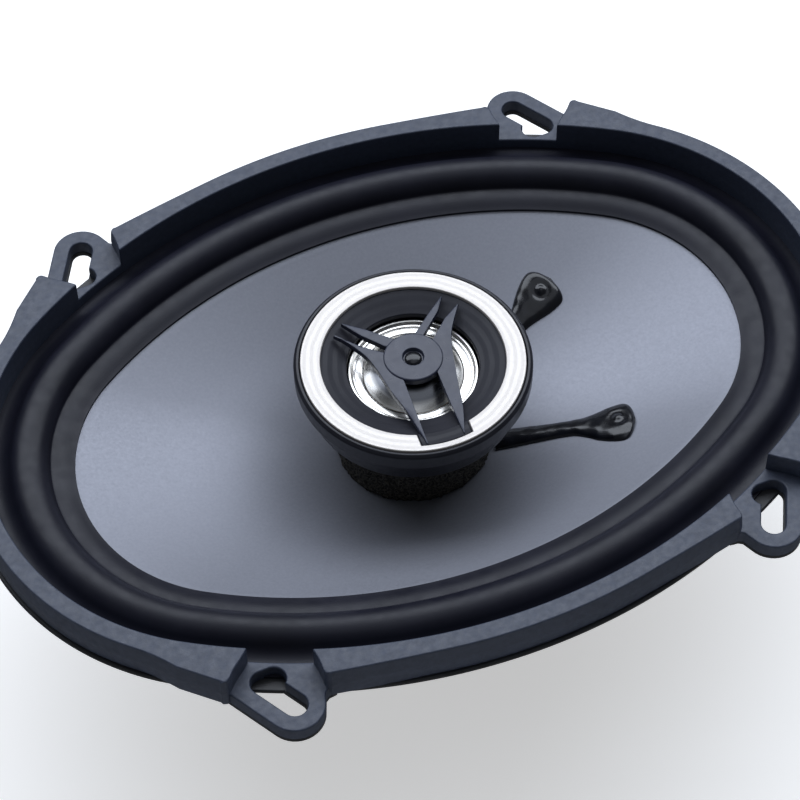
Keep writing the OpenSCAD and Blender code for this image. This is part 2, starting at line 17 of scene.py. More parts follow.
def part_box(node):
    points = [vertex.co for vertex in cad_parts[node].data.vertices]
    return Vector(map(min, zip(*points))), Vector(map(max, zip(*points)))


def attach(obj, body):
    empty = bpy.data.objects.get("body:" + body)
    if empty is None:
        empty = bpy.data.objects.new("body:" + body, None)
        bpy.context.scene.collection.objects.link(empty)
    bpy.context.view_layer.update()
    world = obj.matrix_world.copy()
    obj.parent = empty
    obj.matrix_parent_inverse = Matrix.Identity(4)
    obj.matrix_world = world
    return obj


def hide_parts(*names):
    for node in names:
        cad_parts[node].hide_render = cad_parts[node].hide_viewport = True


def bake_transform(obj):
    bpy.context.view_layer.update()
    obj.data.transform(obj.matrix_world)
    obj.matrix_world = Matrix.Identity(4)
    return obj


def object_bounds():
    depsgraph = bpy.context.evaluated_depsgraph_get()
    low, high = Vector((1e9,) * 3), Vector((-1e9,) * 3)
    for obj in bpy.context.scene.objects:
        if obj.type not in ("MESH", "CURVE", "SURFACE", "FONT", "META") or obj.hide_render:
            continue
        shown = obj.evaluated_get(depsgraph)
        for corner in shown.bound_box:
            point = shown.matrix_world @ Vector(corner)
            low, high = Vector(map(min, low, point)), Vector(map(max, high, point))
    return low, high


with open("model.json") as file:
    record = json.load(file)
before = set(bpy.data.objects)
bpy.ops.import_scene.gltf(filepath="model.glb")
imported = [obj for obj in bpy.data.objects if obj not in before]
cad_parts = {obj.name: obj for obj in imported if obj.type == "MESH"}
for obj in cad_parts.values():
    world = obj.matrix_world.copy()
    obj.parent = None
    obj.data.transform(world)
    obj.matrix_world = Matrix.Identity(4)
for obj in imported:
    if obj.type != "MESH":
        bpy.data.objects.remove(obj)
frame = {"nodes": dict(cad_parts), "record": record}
cad_box = [list(corner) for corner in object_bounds()]

MM = 0.001
TAU = 2 * pi
FIXED = "frame"
MOVING = "cone_assembly"
DOME = "tweeter_diaphragm"


# ------------ sizes

# The oval's arcs meet where it faces JOIN, along the long side of a right triangle of 60, 91 and 109.
JOIN_X, JOIN_Y, JOIN_LONG = 60, 91, 109
JOIN = atan2(JOIN_Y, JOIN_X)
END_CENTRE = 42.0
SIDE_CENTRE = END_CENTRE * JOIN_Y / JOIN_X
END_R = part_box("basket")[1][0] / MM - END_CENTRE
SIDE_R = END_R + END_CENTRE * JOIN_LONG / JOIN_X

# flange sheet, raised segments of the trim ring, ears with their slots, and gaps between segments
SHEET_T = 1.2
TRIM_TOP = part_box("trim_ring")[1][2] / MM
TRIM_OUT, TRIM_IN = 0.8, 5.0
WALL_BULGE = 0.3
FLARE = {"side": 2.05, "end": 4.6}
SEGMENT_EDGE = 0.4
EAR_TOP = 4.5
EAR_R = 6.4
SLOT_R = 2.4
SLOT_OUT = np.array([55.9, 66.6])
SLOT_CORNER = np.array([60.1, 59.1])
SLOT_END = np.array([57.7, 59.1])
GAP_SIDE_X = 48.7
GAP_END_POINT = np.array([60.9, 53.1])
GAP_END_DIR = np.array([5.5, 5.2]) / np.hypot(5.5, 5.2)

# insets of the surround's rim, roll and band, and heights of the cone that hangs on it
RUBBER_OUT, ROLL_OUT, ROLL_IN, BAND_IN = 3.0, 8.9, 18.3, 23.6
RUBBER_T = 0.6
BAND_Z = -0.3
CONE_GAP = 0.15
NECK_R = 12.95
NECK_Z = -19.5
CONE_T = 0.5

# tweeter pod; AXIS is the small radius at which a turned outline starts
RING_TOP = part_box("silver_ring")[1][2] / MM
RING_T = 0.8
RING_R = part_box("silver_ring")[1][0] / MM
RING_IN = 20.8
RING_SEAT = RING_TOP - RING_T
HUB_R = 6.7
GUARD_T = 1.5
AXIS = 0.001
DOME_BASE = 7.7
DOME_CLAMP_R = 13.2
LEAD_ANGLE = radians(26)
EYELET_R = 46.6

# undersides and faces below the flange: the spider's ledge, the dish's floor, the motor's plates
LEDGE_Z = -25.6
DISH_Z = -33.0
MAGNET_Z = -53.2
BACK_Z = -58.2
BOARD = np.array([61.0, 0.0, -24.8])  # middle of the terminal board's upper face
BOARD_T, TAB_T, TAB_Y, TAB_DROP = 1.6, 0.8, 9.8, 10.0
CAN_DROP = 2.55


# ------------ camera, light and floor

def add_camera():
    """The photographed view: from the speaker's left and above, rolled a little."""
    azimuth, elevation, roll = (radians(v) for v in (-22.994, 53.206, -0.683))
    place = Vector((-141.81, -326.37, 473.42)) * MM
    back = Vector((sin(azimuth) * cos(elevation),
                   -cos(azimuth) * cos(elevation), sin(elevation)))
    right = Vector((cos(azimuth), sin(azimuth), 0))
    up = back.cross(right)
    turned_right = right * cos(roll) + up * sin(roll)
    turned_up = up * cos(roll) - right * sin(roll)
    camera = bpy.data.objects.new("camera", bpy.data.cameras.new("camera"))
    bpy.context.collection.objects.link(camera)
    camera.data.sensor_width = 36
    camera.data.lens = 117.53
    camera.data.clip_start = 0.01
    camera.data.clip_end = 20
    turn = Matrix((turned_right, turned_up, back)).transposed()
    camera.matrix_world = Matrix.Translation(place) @ turn.to_4x4()
    bpy.context.scene.camera = camera


def add_light(name, at, size, watts):
    """A soft, slightly cool rectangular light at a point in metres, turned towards the origin."""
    data = bpy.data.lights.new(name, "AREA")
    data.shape = "RECTANGLE"
    data.size, data.size_y = size
    data.energy = watts
    data.color = (0.84, 0.9, 1.0)
    light = bpy.data.objects.new(name, data)
    bpy.context.collection.objects.link(light)
    light.location = at
    light.rotation_euler = (-Vector(at)).to_track_quat("-Z", "Y").to_euler()


def add_studio():
    """A wide soft light above and behind the object, a faint one overhead, and a white table.

    The table glows faintly, so that it stays white round the object, and gloss doesn't show it.
    """
    scene = bpy.context.scene
    scene.view_settings.view_transform = "Standard"
    world = bpy.data.worlds.new("studio")
    scene.world = world
    world.use_nodes = True
    sky = world.node_tree.nodes["Background"]
    sky.inputs["Color"].default_value = (0.9, 0.95, 1.0, 1)
    sky.inputs["Strength"].default_value = 0.09
    add_light("softbox", (0.22, 0.62, 0.92), (2.4, 0.75), 18)
    add_light("overhead", (0.05, -0.12, 1.2), (1.1, 0.8), 1.4)

    size, z = 3.0, cad_box[0][2]
    mesh = bpy.data.meshes.new("floor")
    mesh.from_pydata([(x * size, y * size, z) for x, y in ((-1, -1), (1, -1), (1, 1), (-1, 1))], [],
                     [(0, 1, 2, 3)])
    floor = bpy.data.objects.new("floor", mesh)
    bpy.context.collection.objects.link(floor)
    pale = bpy.data.materials.new("floor_paper")
    pale.use_nodes = True
    shader = pale.node_tree.nodes["Principled BSDF"]
    for socket, value in (("Base Color", (0.93, 0.93, 0.93, 1)), ("Roughness", 0.8),
                          ("Emission Color", (1, 1, 1, 1)), ("Emission Strength", 0.5)):
        shader.inputs[socket].default_value = value
    mesh.materials.append(pale)
    floor.visible_glossy = False


# ------------ materials

MATERIALS = {}
TEXTURE_SPAN = (0.3, 0.7)


class Paint:
    """A procedural material: one Principled shader, with textures read in the frame's own axes."""

    def __init__(self, name, colour, roughness, metallic=0.0, specular=0.5, coat=(0.0, 0.03)):
        material = MATERIALS[name] = bpy.data.materials.new(name)
        material.use_nodes = True
        self.tree = material.node_tree
        self.shader = self.tree.nodes["Principled BSDF"]
        for socket, value in (("Base Color", (*colour, 1)), ("Roughness", roughness),
                              ("Metallic", metallic), ("Specular IOR Level", specular),
                              ("Coat Weight", coat[0]), ("Coat Roughness", coat[1])):
            self.shader.inputs[socket].default_value = value
        self.place = self.node("ShaderNodeTexCoord").outputs["Object"]
        self.normal = None

    def node(self, kind, **values):
        made = self.tree.nodes.new(kind)
        for key, value in values.items():
            if hasattr(made, key):
                setattr(made, key, value)
            else:
                made.inputs[key.replace("_", " ")].default_value = value
        return made

    def link(self, output, target):
        self.tree.links.new(output, target)

    def stretched(self, scale):
        """The place, scaled differently along each axis."""
        mapping = self.node("ShaderNodeMapping")
        mapping.inputs["Scale"].default_value = scale
        self.link(self.place, mapping.inputs["Vector"])
        return mapping.outputs["Vector"]

    def noise(self, grain_mm, detail=2.0, roughness=0.5, place=None):
        made = self.node("ShaderNodeTexNoise", Scale=1000 / grain_mm, Detail=detail,
                         Roughness=roughness)
        self.link(place or self.place, made.inputs["Vector"])
        return made.outputs["Fac"]

    def cells(self, grain_mm):
        made = self.node("ShaderNodeTexVoronoi", feature="F1", Scale=1000 / grain_mm)
        self.link(self.place, made.inputs["Vector"])
        return made.outputs["Distance"]

    def wave(self, pitch_mm, **values):
        """Bands or rings at this pitch; Blender's wave has 20 of them in one unit of its scale."""
        made = self.node("ShaderNodeTexWave", Scale=1000 / pitch_mm / 20, **values)
        self.link(self.place, made.inputs["Vector"])
        return made.outputs["Fac"]

    def texture(self, grain):
        """Noise from its (size, detail, roughness), or fine rings round the Z axis from a pitch."""
        if isinstance(grain, tuple):
            return self.noise(*grain)
        return self.wave(grain, wave_type="RINGS", rings_direction="Z", Distortion=1.5, Detail=3.0)

    def spread(self, source, start, end, low=0.0, high=1.0):
        """Maps start..end to low..high."""
        made = self.node("ShaderNodeMapRange")
        for socket, value in (("From Min", start), ("From Max", end), ("To Min", low),
                              ("To Max", high)):
            made.inputs[socket].default_value = value
        self.link(source, made.inputs["Value"])
        return made.outputs["Result"]

    def tint(self, source, dark, light):
        """Colour between two, by a texture."""
        made = self.node("ShaderNodeValToRGB")
        for stop, place, colour in zip(made.color_ramp.elements, TEXTURE_SPAN, (dark, light)):
            stop.position = place
            stop.color = (*colour, 1)
        self.link(source, made.inputs["Fac"])
        self.link(made.outputs["Color"], self.shader.inputs["Base Color"])

    def rough(self, source, low, high):
        self.link(self.spread(source, *TEXTURE_SPAN, low, high), self.shader.inputs["Roughness"])

    def bump(self, source, height_mm):
        made = self.node("ShaderNodeBump", Strength=1.0, Distance=height_mm * MM)
        self.link(source, made.inputs["Height"])
        if self.normal is not None:
            self.link(self.normal, made.inputs["Normal"])
        self.normal = made.outputs["Normal"]
        self.link(self.normal, self.shader.inputs["Normal"])


def finish(name, colour, roughness, tint, rough, *bumps, **options):
    """A surface: tint is (texture, dark, light), rough (texture, low, high), a bump (texture, mm)."""
    paint = Paint(name, colour, roughness, **options)
    paint.tint(paint.texture(tint[0]), *tint[1:])
    paint.rough(paint.texture(rough[0]), *rough[1:])
    for grain, height_mm in bumps:
        paint.bump(paint.texture(grain), height_mm)


def moulded(name, dark, light, roughness, grain_mm=0.35, depth_mm=0.012):
    """Moulded plastic or powder coat: faint mottling, a fine pebbled texture and uneven sheen."""
    finish(name, light, roughness, ((6, 3), dark, light),
           ((2.5, 4), roughness - 0.05, roughness + 0.07), ((grain_mm, 3), depth_mm))


def metal(name, dark, light, roughness, grain_mm=1.2, depth_mm=0.004, stretch=(1, 1, 1)):
    """Worked metal: brushed or rolled grain in the roughness and the surface."""
    paint = Paint(name, light, roughness, 1.0)
    place = paint.stretched(stretch)
    paint.tint(paint.noise(4, 4), dark, light)
    paint.rough(paint.noise(grain_mm, 5, place=place), roughness - 0.06, roughness + 0.1)
    paint.bump(paint.noise(grain_mm * 0.5, 4, place=place), depth_mm)


def foam_black():
    paint = Paint("foam", (0.008, 0.008, 0.009), 0.85, specular=0.35)
    pores = paint.cells(0.5)
    # painted shade and light: the colour is darkest in the pits of the cells and lighter, brownish, on
    # the ridges between them, as lit struts
    paint.tint(pores, (0.003, 0.003, 0.003), (0.09, 0.082, 0.066))
    paint.bump(pores, 0.5)
    paint.bump(paint.noise(0.35, 4), 0.15)


def dome_metal(name, turned_mm):
    """Polished metal whose colour is painted darker towards the middle of the dome: a painted
    reflection of the dark hub above it.
    """
    paint = Paint(name, (0.86, 0.84, 0.8), 0.26, 1.0)
    turned = paint.texture(turned_mm)
    # painted reflection: by distance from the axis, the base colour runs from dark near the hub's edge
    # to light at the clamp ring
    reach = paint.node("ShaderNodeVectorMath", operation="LENGTH")
    paint.link(paint.stretched((1, 1, 0)), reach.inputs[0])
    share = paint.spread(reach.outputs["Value"], 6.8 * MM, DOME_CLAMP_R * MM)
    paint.tint(share, (0.16, 0.165, 0.18), (0.9, 0.88, 0.84))
    paint.rough(turned, 0.22, 0.3)
    paint.bump(turned, 0.001)
    paint.bump(paint.noise(1.5, 3), 0.002)


def woven(name, dark, light):
    """Resin-stiffened open cloth: a weave in the surface and in the colour."""
    paint = Paint(name, light, 0.7)
    both = paint.node("ShaderNodeMath", operation="MULTIPLY")
    for socket, direction in enumerate("XY"):
        threads = paint.wave(5 / 6, bands_direction=direction, Distortion=0.3)
        paint.link(threads, both.inputs[socket])
    paint.tint(both.outputs[0], dark, light)
    paint.bump(both.outputs[0], 0.12)
    paint.rough(paint.noise(3, 3), 0.6, 0.8)


def wound(name, dark, light, pitch_mm):
    """Turns of enamelled wire, or a braid, as fine bands."""
    paint = Paint(name, light, 0.3, 0.9)
    bands = paint.wave(pitch_mm, bands_direction="Z")
    paint.tint(bands, dark, light)
    paint.bump(bands, 0.08)


finish("trim_plastic", (0.034, 0.047, 0.085), 0.5,
       ((1.3, 5, 0.65), (0.027, 0.037, 0.066), (0.041, 0.055, 0.096)),
       ((1.5, 4), 0.46, 0.6), ((0.8, 4, 0.6), 0.045), ((0.3, 3), 0.02), specular=0.8)
finish("surround_rubber", (0.009, 0.0095, 0.018), 0.42,
       ((14, 4), (0.007, 0.0075, 0.015), (0.012, 0.0125, 0.023)),
       ((3, 5), 0.38, 0.5), ((0.5, 4), 0.01), ((7, 2), 0.05), specular=0.34)
finish("cone_poly", (0.285, 0.295, 0.34), 0.46,
       ((0.7, 4, 0.6), (0.27, 0.28, 0.322), (0.3, 0.31, 0.358)),
       ((0.6, 4), 0.42, 0.52), ((0.45, 4, 0.55), 0.006), metallic=0.45)
foam_black()
finish("silver_trim", (0.84, 0.79, 0.74), 0.42,
       ((0.6, 5), (0.78, 0.735, 0.69), (0.84, 0.79, 0.745)),
       (0.25, 0.3, 0.44), (0.25, 0.004), ((0.25, 3), 0.006), metallic=0.25)
finish("housing_plastic", (0.014, 0.0145, 0.022), 0.36,
       ((5, 4), (0.011, 0.0115, 0.018), (0.017, 0.0175, 0.026)),
       ((1.2, 4), 0.32, 0.44), ((0.28, 3), 0.006), specular=0.45)
finish("funnel_plastic", (0.014, 0.0145, 0.023), 0.52,
       ((5, 4), (0.011, 0.0115, 0.019), (0.018, 0.0185, 0.028)),
       (0.35, 0.47, 0.6), (0.35, 0.01), specular=0.35)
finish("gloss_black", (0.03, 0.036, 0.064), 0.3,
       ((4, 4), (0.026, 0.031, 0.056), (0.036, 0.042, 0.074)),
       ((1.5, 5), 0.26, 0.38), ((0.4, 3), 0.004), specular=0.55)
finish("cement", (0.004, 0.004, 0.006), 0.2,
       ((3, 4), (0.003, 0.003, 0.005), (0.008, 0.009, 0.014)),
       ((2, 4), 0.16, 0.28), ((4, 2), 0.05), coat=(0.15, 0.05))
# both metals carry the painted reflection that darkens towards the dome's middle
dome_metal("dome_metal", 0.4)
dome_metal("ring_metal", 0.3)
moulded("black_steel", (0.016, 0.016, 0.018), (0.026, 0.026, 0.029), 0.42, 0.6, 0.02)
woven("spider_cloth", (0.2, 0.11, 0.03), (0.62, 0.42, 0.14))
metal("coil_former", (0.62, 0.62, 0.63), (0.78, 0.78, 0.79), 0.3)
wound("copper", (0.35, 0.13, 0.05), (0.8, 0.38, 0.2), 0.5)
metal("brass", (0.62, 0.44, 0.17), (0.8, 0.6, 0.28), 0.28)
metal("plated_steel", (0.42, 0.42, 0.43), (0.6, 0.6, 0.61), 0.3, 2.0, 0.006, (1, 0.15, 1))
moulded("ferrite", (0.026, 0.026, 0.028), (0.05, 0.05, 0.053), 0.5, 0.8, 0.03)
metal("rivet_steel", (0.5, 0.5, 0.51), (0.68, 0.68, 0.69), 0.26)
moulded("post_plastic", (0.016, 0.016, 0.017), (0.024, 0.024, 0.026), 0.45)
moulded("tweeter_rubber", (0.015, 0.015, 0.016), (0.024, 0.024, 0.026), 0.5)
moulded("fibre_board", (0.1, 0.04, 0.016), (0.2, 0.09, 0.04), 0.55, 0.9, 0.03)
metal("tab_brass", (0.62, 0.56, 0.4), (0.82, 0.76, 0.6), 0.25, 1.5, 0.004, (1, 1, 0.2))
moulded("capacitor_sleeve", (0.012, 0.02, 0.05), (0.02, 0.032, 0.075), 0.25)
moulded("wire_insulation", (0.01, 0.01, 0.01), (0.02, 0.02, 0.02), 0.4)


# ------------ shapes

def add(points, faces, more_points, more_faces):
    """Adds a mesh's points and faces to lists that may hold others."""
    faces += [tuple(i + len(points) for i in face) for face in more_faces]
    points += more_points


def piece(name, parts, slot, *nodes, body=FIXED, sharp=32, paint=None):
    """One object from several parts (points in mm, faces), which stands for the CAD nodes."""
    points, faces = [], []
    for part_points, part_faces in parts:
        add(points, faces, [[float(c) * MM for c in p] for p in part_points], part_faces)
    mesh = bpy.data.meshes.new(name)
    mesh.from_pydata(points, [], faces)
    work = bmesh.new()
    work.from_mesh(mesh)
    bmesh.ops.remove_doubles(work, verts=work.verts, dist=1e-7)
    bmesh.ops.recalc_face_normals(work, faces=work.faces)
    work.to_mesh(mesh)
    work.free()
    mesh.shade_smooth()
    mesh.set_sharp_from_angle(angle=radians(sharp))
    made = bpy.data.objects.new(name, mesh)
    bpy.context.collection.objects.link(made)
    mesh.materials.append(MATERIALS[paint or slot])
    made.modifiers.new("weighted_normals", "WEIGHTED_NORMAL").keep_sharp = True
    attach(made, body)
    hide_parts(*nodes)
    return made


def skin(rings, wrap=False):
    """Faces between closed rows of points. wrap joins the last row to the first."""
    n = len(rings[0])
    points = [p for ring in rings for p in ring]
    faces = []
    for j in range(len(rings) if wrap else len(rings) - 1):
        k = (j + 1) % len(rings)
        for i in range(n):
            m = (i + 1) % n
            faces.append((j * n + i, j * n + m, k * n + m, k * n + i))
    return points, faces


def capped(rings):
    """A skin whose first and last rows are each closed by one face."""
    points, faces = skin(rings)
    n = len(rings[0])
    return points, faces + [tuple(range(base, base + n)) for base in (0, len(points) - n)]


def fillet(corners, radius, steps=4):
    """Closed outline with its corners rounded, by one radius or by one for each corner."""
    radii = radius if isinstance(radius, (list, tuple)) else [radius] * len(corners)
    corners = [np.array(c, float) for c in corners]
    out = []
    for i, corner in enumerate(corners):
        before = corners[i - 1] - corner
        after = corners[(i + 1) % len(corners)] - corner
        length_before, length_after = np.linalg.norm(before), np.linalg.norm(after)
        before, after = before / length_before, after / length_after
        half = acos(max(-1.0, min(1.0, float(before @ after)))) / 2
        if radii[i] <= 0 or half > 1.55:
            out.append(corner)
            continue
        reach = min(radii[i] / tan(half), 0.47 * length_before, 0.47 * length_after)
        r = reach * tan(half)
        middle = (before + after) / np.linalg.norm(before + after)
        centre = corner + middle * r / sin(half)
        start, end = corner + before * reach - centre, corner + after * reach - centre
        for k in range(steps + 1):
            v = start * (1 - k / steps) + end * (k / steps)
            out.append(centre + v / np.linalg.norm(v) * r)
    return out


def spoke(angle, radius=1.0):
    return radius * np.array([cos(angle), sin(angle)])


def fan(radius, start, end, count):
    """Points round the origin between two angles in radians."""
    return [spoke(a, radius) for a in np.linspace(start, end, count)]


def arc(centre, radius, start, end, steps):
    """Points on an arc between two angles in degrees."""
    return [np.array(centre) + spoke(radians(a), radius) for a in np.linspace(start, end, steps + 1)]


def circle(centre, radius, sides):
    return arc(centre, radius, 0, 360, sides)[:-1]


def lathe(profile, steps=160, at=(0, 0)):
    """Turns a closed outline of (radius, height) round the Z axis."""
    rings = []
    for k in range(steps):
        c, s = spoke(TAU * k / steps)
        rings.append([(at[0] + r * c, at[1] + r * s, z) for r, z in profile])
    return skin(rings, wrap=True)


def oval(facing, inset):
    """Point of the oval that faces this way (radians), at this inset."""
    c, s = cos(facing), sin(facing)
    if abs(c) >= JOIN_X / JOIN_LONG:
        return np.array([copysign(END_CENTRE, c) + (END_R - inset) * c, (END_R - inset) * s])
    return np.array([(SIDE_R - inset) * c, -copysign(SIDE_CENTRE, s) + (SIDE_R - inset) * s])


def facings(start=0.0, end=TAU, step_mm=1.6):
    """Directions between two, spaced evenly along the oval, with the arcs' joins among them."""
    marks = [k * pi + side * JOIN for k in (-2, -1, 0, 1, 2, 3) for side in (-1, 1)]
    stops = [start] + sorted(m for m in marks if start + 1e-6 < m < end - 1e-6) + [end]
    out = []
    for a, b in zip(stops, stops[1:]):
        on_end = abs(cos((a + b) / 2)) >= JOIN_X / JOIN_LONG
        n = max(1, round((END_R if on_end else SIDE_R) * (b - a) / step_mm))
        out += list(np.linspace(a, b, n, endpoint=False))
    return out + [end]


def oval_sweep(profile):
    """Carries a closed outline of (inset, height) once round the oval."""
    rings = [[(*oval(f, inset), z) for inset, z in profile] for f in facings()[:-1]]
    return skin(rings, wrap=True)


def shifted(outline, distance):
    """The outline moved inwards (left of its direction) by a small distance."""
    out = []
    n = len(outline)
    for i in range(n):
        before = outline[i] - outline[i - 1]
        after = outline[(i + 1) % n] - outline[i]
        before, after = before / np.linalg.norm(before), after / np.linalg.norm(after)
        side = np.array([-before[1] - after[1], before[0] + after[0]])
        side /= np.linalg.norm(side)
        out.append(outline[i] + side * distance / max(0.5, side @ np.array([-before[1], before[0]])))
    return out


def spaced(outline, least=0.02):
    """Drops points that lie on their neighbour."""
    out = []
    for p in outline:
        if not out or np.linalg.norm(p - out[-1]) > least:
            out.append(np.array(p, float))
    if np.linalg.norm(out[0] - out[-1]) <= least:
        out.pop()
    return out


def area(outline):
    """Signed area, above nought where the outline runs anticlockwise."""
    return sum(outline[i - 1][0] * p[1] - p[0] * outline[i - 1][1] for i, p in enumerate(outline)) / 2


def plate(outline, holes, z_low, z_high, edge, steps=3, low_edge=0.0, mirrored=(1, 1)):
    """Flat plate with holes and rounded edges."""
    loops = []
    for k, line in enumerate([outline] + list(holes)):
        line = spaced(line)
        if (area(line) > 0) != (k == 0):
            line = line[::-1]
        loops.append(line)
    quarter = fan(1, 0, pi / 2, steps + 1)
    levels = [(0.0, z_low)]
    if low_edge:
        levels = [(low_edge * (1 - s), z_low + low_edge * (1 - c)) for c, s in quarter]
    levels += [(edge * (1 - c), z_high - edge * (1 - s)) for c, s in quarter]
    points, faces, caps = [], [], []
    for line in loops:
        rings = [[(*p, z) for p in shifted(line, d)] for d, z in levels]
        base = len(points)
        add(points, faces, *skin(rings))
        caps.append((base, base + (len(rings) - 1) * len(line), len(line)))
    for top in (0, 1):
        flat = [[Vector((*points[c[top] + i][:2], 0)) for i in range(c[2])] for c in caps]
        index = [c[top] + i for c in caps for i in range(c[2])]
        faces += [tuple(index[i] for i in tri) for tri in tessellate_polygon(flat)]
    return [(p[0] * mirrored[0], p[1] * mirrored[1], p[2]) for p in points], faces


def smooth_run(points, steps):
    """Smooth run through given points."""
    points = [np.array(p, float) for p in points]
    out = []
    for i in range(len(points) - 1):
        a, b = points[max(0, i - 1)], points[i]
        c, d = points[i + 1], points[min(len(points) - 1, i + 2)]
        for t in np.linspace(0, 1, steps, endpoint=False):
            out.append(b + t * (c - a) / 2 + t * t * (a - 2.5 * b + 2 * c - d / 2)
                       + t ** 3 * (-a / 2 + 1.5 * b - 1.5 * c + d / 2))
    return out + [points[-1]]


def tube(path, radius, sides=12):
    """Round tube along a list of points, with a smooth run through them."""
    line = smooth_run(path, 6)
    rings = []
    up = np.array([0.0, 1.0, 0.0])
    for i, p in enumerate(line):
        run = line[min(len(line) - 1, i + 1)] - line[max(0, i - 1)]
        run /= np.linalg.norm(run)
        side = np.cross(up, run)
        if np.linalg.norm(side) < 1e-3:
            side = np.cross(np.array([1.0, 0, 0]), run)
        side /= np.linalg.norm(side)
        up = np.cross(run, side)
        rings.append([p + radius * (c * side + s * up) for c, s in fan(1, 0, TAU, sides + 1)[:-1]])
    return capped(rings)


CORNERS = [(1, 1), (-1, 1), (-1, -1), (1, -1)]


# ------------ trim ring

def gap_facing(inset, edge):
    """Where the oval at this inset meets a corner gap's edge: that of the "side" or "end" segment."""
    if edge == "side":
        return acos(GAP_SIDE_X / (SIDE_R - inset))
    normal = np.array([GAP_END_DIR[1], -GAP_END_DIR[0]])
    low, high = radians(30), radians(80)
    for _ in range(40):
        middle = (low + high) / 2
        if (oval(middle, inset) - GAP_END_POINT) @ normal > 0:
            low = middle
        else:
            high = middle
    return low


def outer_inset(facing, edge):
    """Inset of the segment's outer edge, which flares out towards the corner gap."""
    angle = degrees(atan2(abs(sin(facing)), abs(cos(facing))))
    share, power = ((80 - angle) / 10.6, 1.85) if edge == "side" else ((angle - 47) / 14, 2)
    return TRIM_OUT - FLARE[edge] * min(1.0, max(0.0, share)) ** power


def end_setback(q):
    """A segment's end face is a little hollow and rounded at its outer corner, where q is nought."""
    corner_r = 1.1
    hollow = 0.3 * sin(pi * min(1.0, q / 6.4))
    if q >= corner_r:
        return hollow
    return hollow + corner_r - sqrt(corner_r ** 2 - (corner_r - q) ** 2)


def segment_row(width, shrink):
    """Section of a raised segment, drawn in by shrink: (distance from outside, swell, height)."""
    r = SEGMENT_EDGE
    top = TRIM_TOP - shrink
    swell = TRIM_OUT - WALL_BULGE
    wall = [(shrink, swell * t, z)
            for t, z in ((0, SHEET_T), (0.5, 3.6), (0.92, 5.5), (1, 6), (0.92, 6.5), (0.3, 8.8))]
    row = [(x, 0, z) for x, z in arc((shrink + r, top - r), r, 180, 90, 4)]
    row += [(x, 0, top) for x in np.linspace(shrink + r, width - shrink - r, 8)[1:-1]]
    row += [(x, 0, z) for x, z in arc((width - shrink - r, top - r), r, 90, 0, 4)]
    return wall + row + [(q, 0, SHEET_T + 0.1) for q, _, _ in row[::-1]]


def raised_segment(edge, mirrored):
    """One of the four raised parts, two long with "side" edges and two short with "end" edges."""
    wall_count = 6
    rounding = [SEGMENT_EDGE * (1 - p) for p in fan(1, 0, pi / 2, 5)]
    tip_out = TRIM_OUT - FLARE[edge]
    turn = 1 if edge == "side" else -1

    rings = []
    for along, shrink in rounding:
        ring = []
        for q, swell, z in segment_row(TRIM_IN - tip_out, shrink):
            inset = tip_out + q
            facing = gap_facing(inset, edge) + turn * (along + end_setback(q)) / (SIDE_R - inset)
            ring.append((facing, inset - swell, z))
        rings.append(ring)
    # from the slanting end the rows turn until they stand square to the ring
    last = [f for f, _, _ in rings[-1]]
    square = max(last) + 4 / SIDE_R if edge == "side" else min(last) - 4 / SIDE_R
    rows = [[f * (1 - t) + square * t for f in last] for t in np.linspace(0, 1, 10)[1:-1]]
    middle = facings(square, pi / 2, 1.4) if edge == "side" else facings(0, square, 1.4)[::-1]
    rows += [[f] * len(last) for f in middle]
    for row in rows:
        ring = []
        for i, facing in enumerate(row):
            out = outer_inset(facing, edge)
            q, swell, z = segment_row(TRIM_IN - out, 0)[i]
            ring.append((facing, out + q - swell, z))
        rings.append(ring)
    centre = pi if edge == "side" else 0.0
    rings += [[(centre - f, *p) for f, *p in ring] for ring in reversed(rings[:-1])]
    placed = [[(*(oval(f, inset) * mirrored), z) for f, inset, z in ring] for ring in rings]
    points, faces = skin(placed)
    count = len(placed[0])
    top_count = (count - wall_count) // 2
    for base in (0, (len(placed) - 1) * count):
        first, final = base + wall_count, base + count - 1
        faces += [(first + i, first + i + 1, final - i - 1, final - i) for i in range(top_count - 1)]
        faces.append(tuple(base + i for i in range(wall_count + 1)) + (final,))
    return points, faces


def slot_run():
    """The direction of the slot's long leg, and in degrees that of its outer side."""
    run = (SLOT_CORNER - SLOT_OUT) / np.linalg.norm(SLOT_CORNER - SLOT_OUT)
    return run, degrees(atan2(run[0], -run[1]))


def slot_outline(r):
    """L-shaped slot: a long leg that runs outwards and a short leg along X."""
    run, side = slot_run()
    line = arc(SLOT_OUT, r, side + 180, side, 16) + arc(SLOT_CORNER, r, side, -90, 12)
    # the short leg's end runs round until it meets the long leg's inner side
    wall = SLOT_OUT - spoke(radians(side), r)
    along = (SLOT_END - wall) @ run
    off = np.linalg.norm(SLOT_END - wall - run * along)
    meet = wall + run * (along - sqrt(r * r - off * off)) - SLOT_END
    return line + arc(SLOT_END, r, -90, degrees(atan2(meet[1], meet[0])) - 360, 12)


def ear_outline():
    """Outer edge of an ear, from the long segment round to the short one."""
    run, side = slot_run()
    line = [np.array(p) for p in ((46.2, 65.7), (48.0, 65.9), (48.9, 66.5))]
    line += arc(SLOT_OUT, EAR_R, 160, side, 16)
    return line + [line[-1] + 20.4 * run]


def corner_pad(mirrored):
    """Floor of the corner gap with its ear."""
    hidden = 0.9
    inner = TRIM_IN - 0.03
    under_end = gap_facing(inner, "end") - hidden / SIDE_R
    under_side = gap_facing(inner, "side") + (hidden + 0.4) / SIDE_R
    outline = [oval(f, inner) for f in facings(under_end, under_side, 0.8)]
    outline += [np.array((46.4, 62.5))] + ear_outline() + [oval(radians(57.5), 3.2)]
    return plate(outline, [slot_outline(SLOT_R + 0.3)], SHEET_T, EAR_TOP, 0.4, mirrored=mirrored)


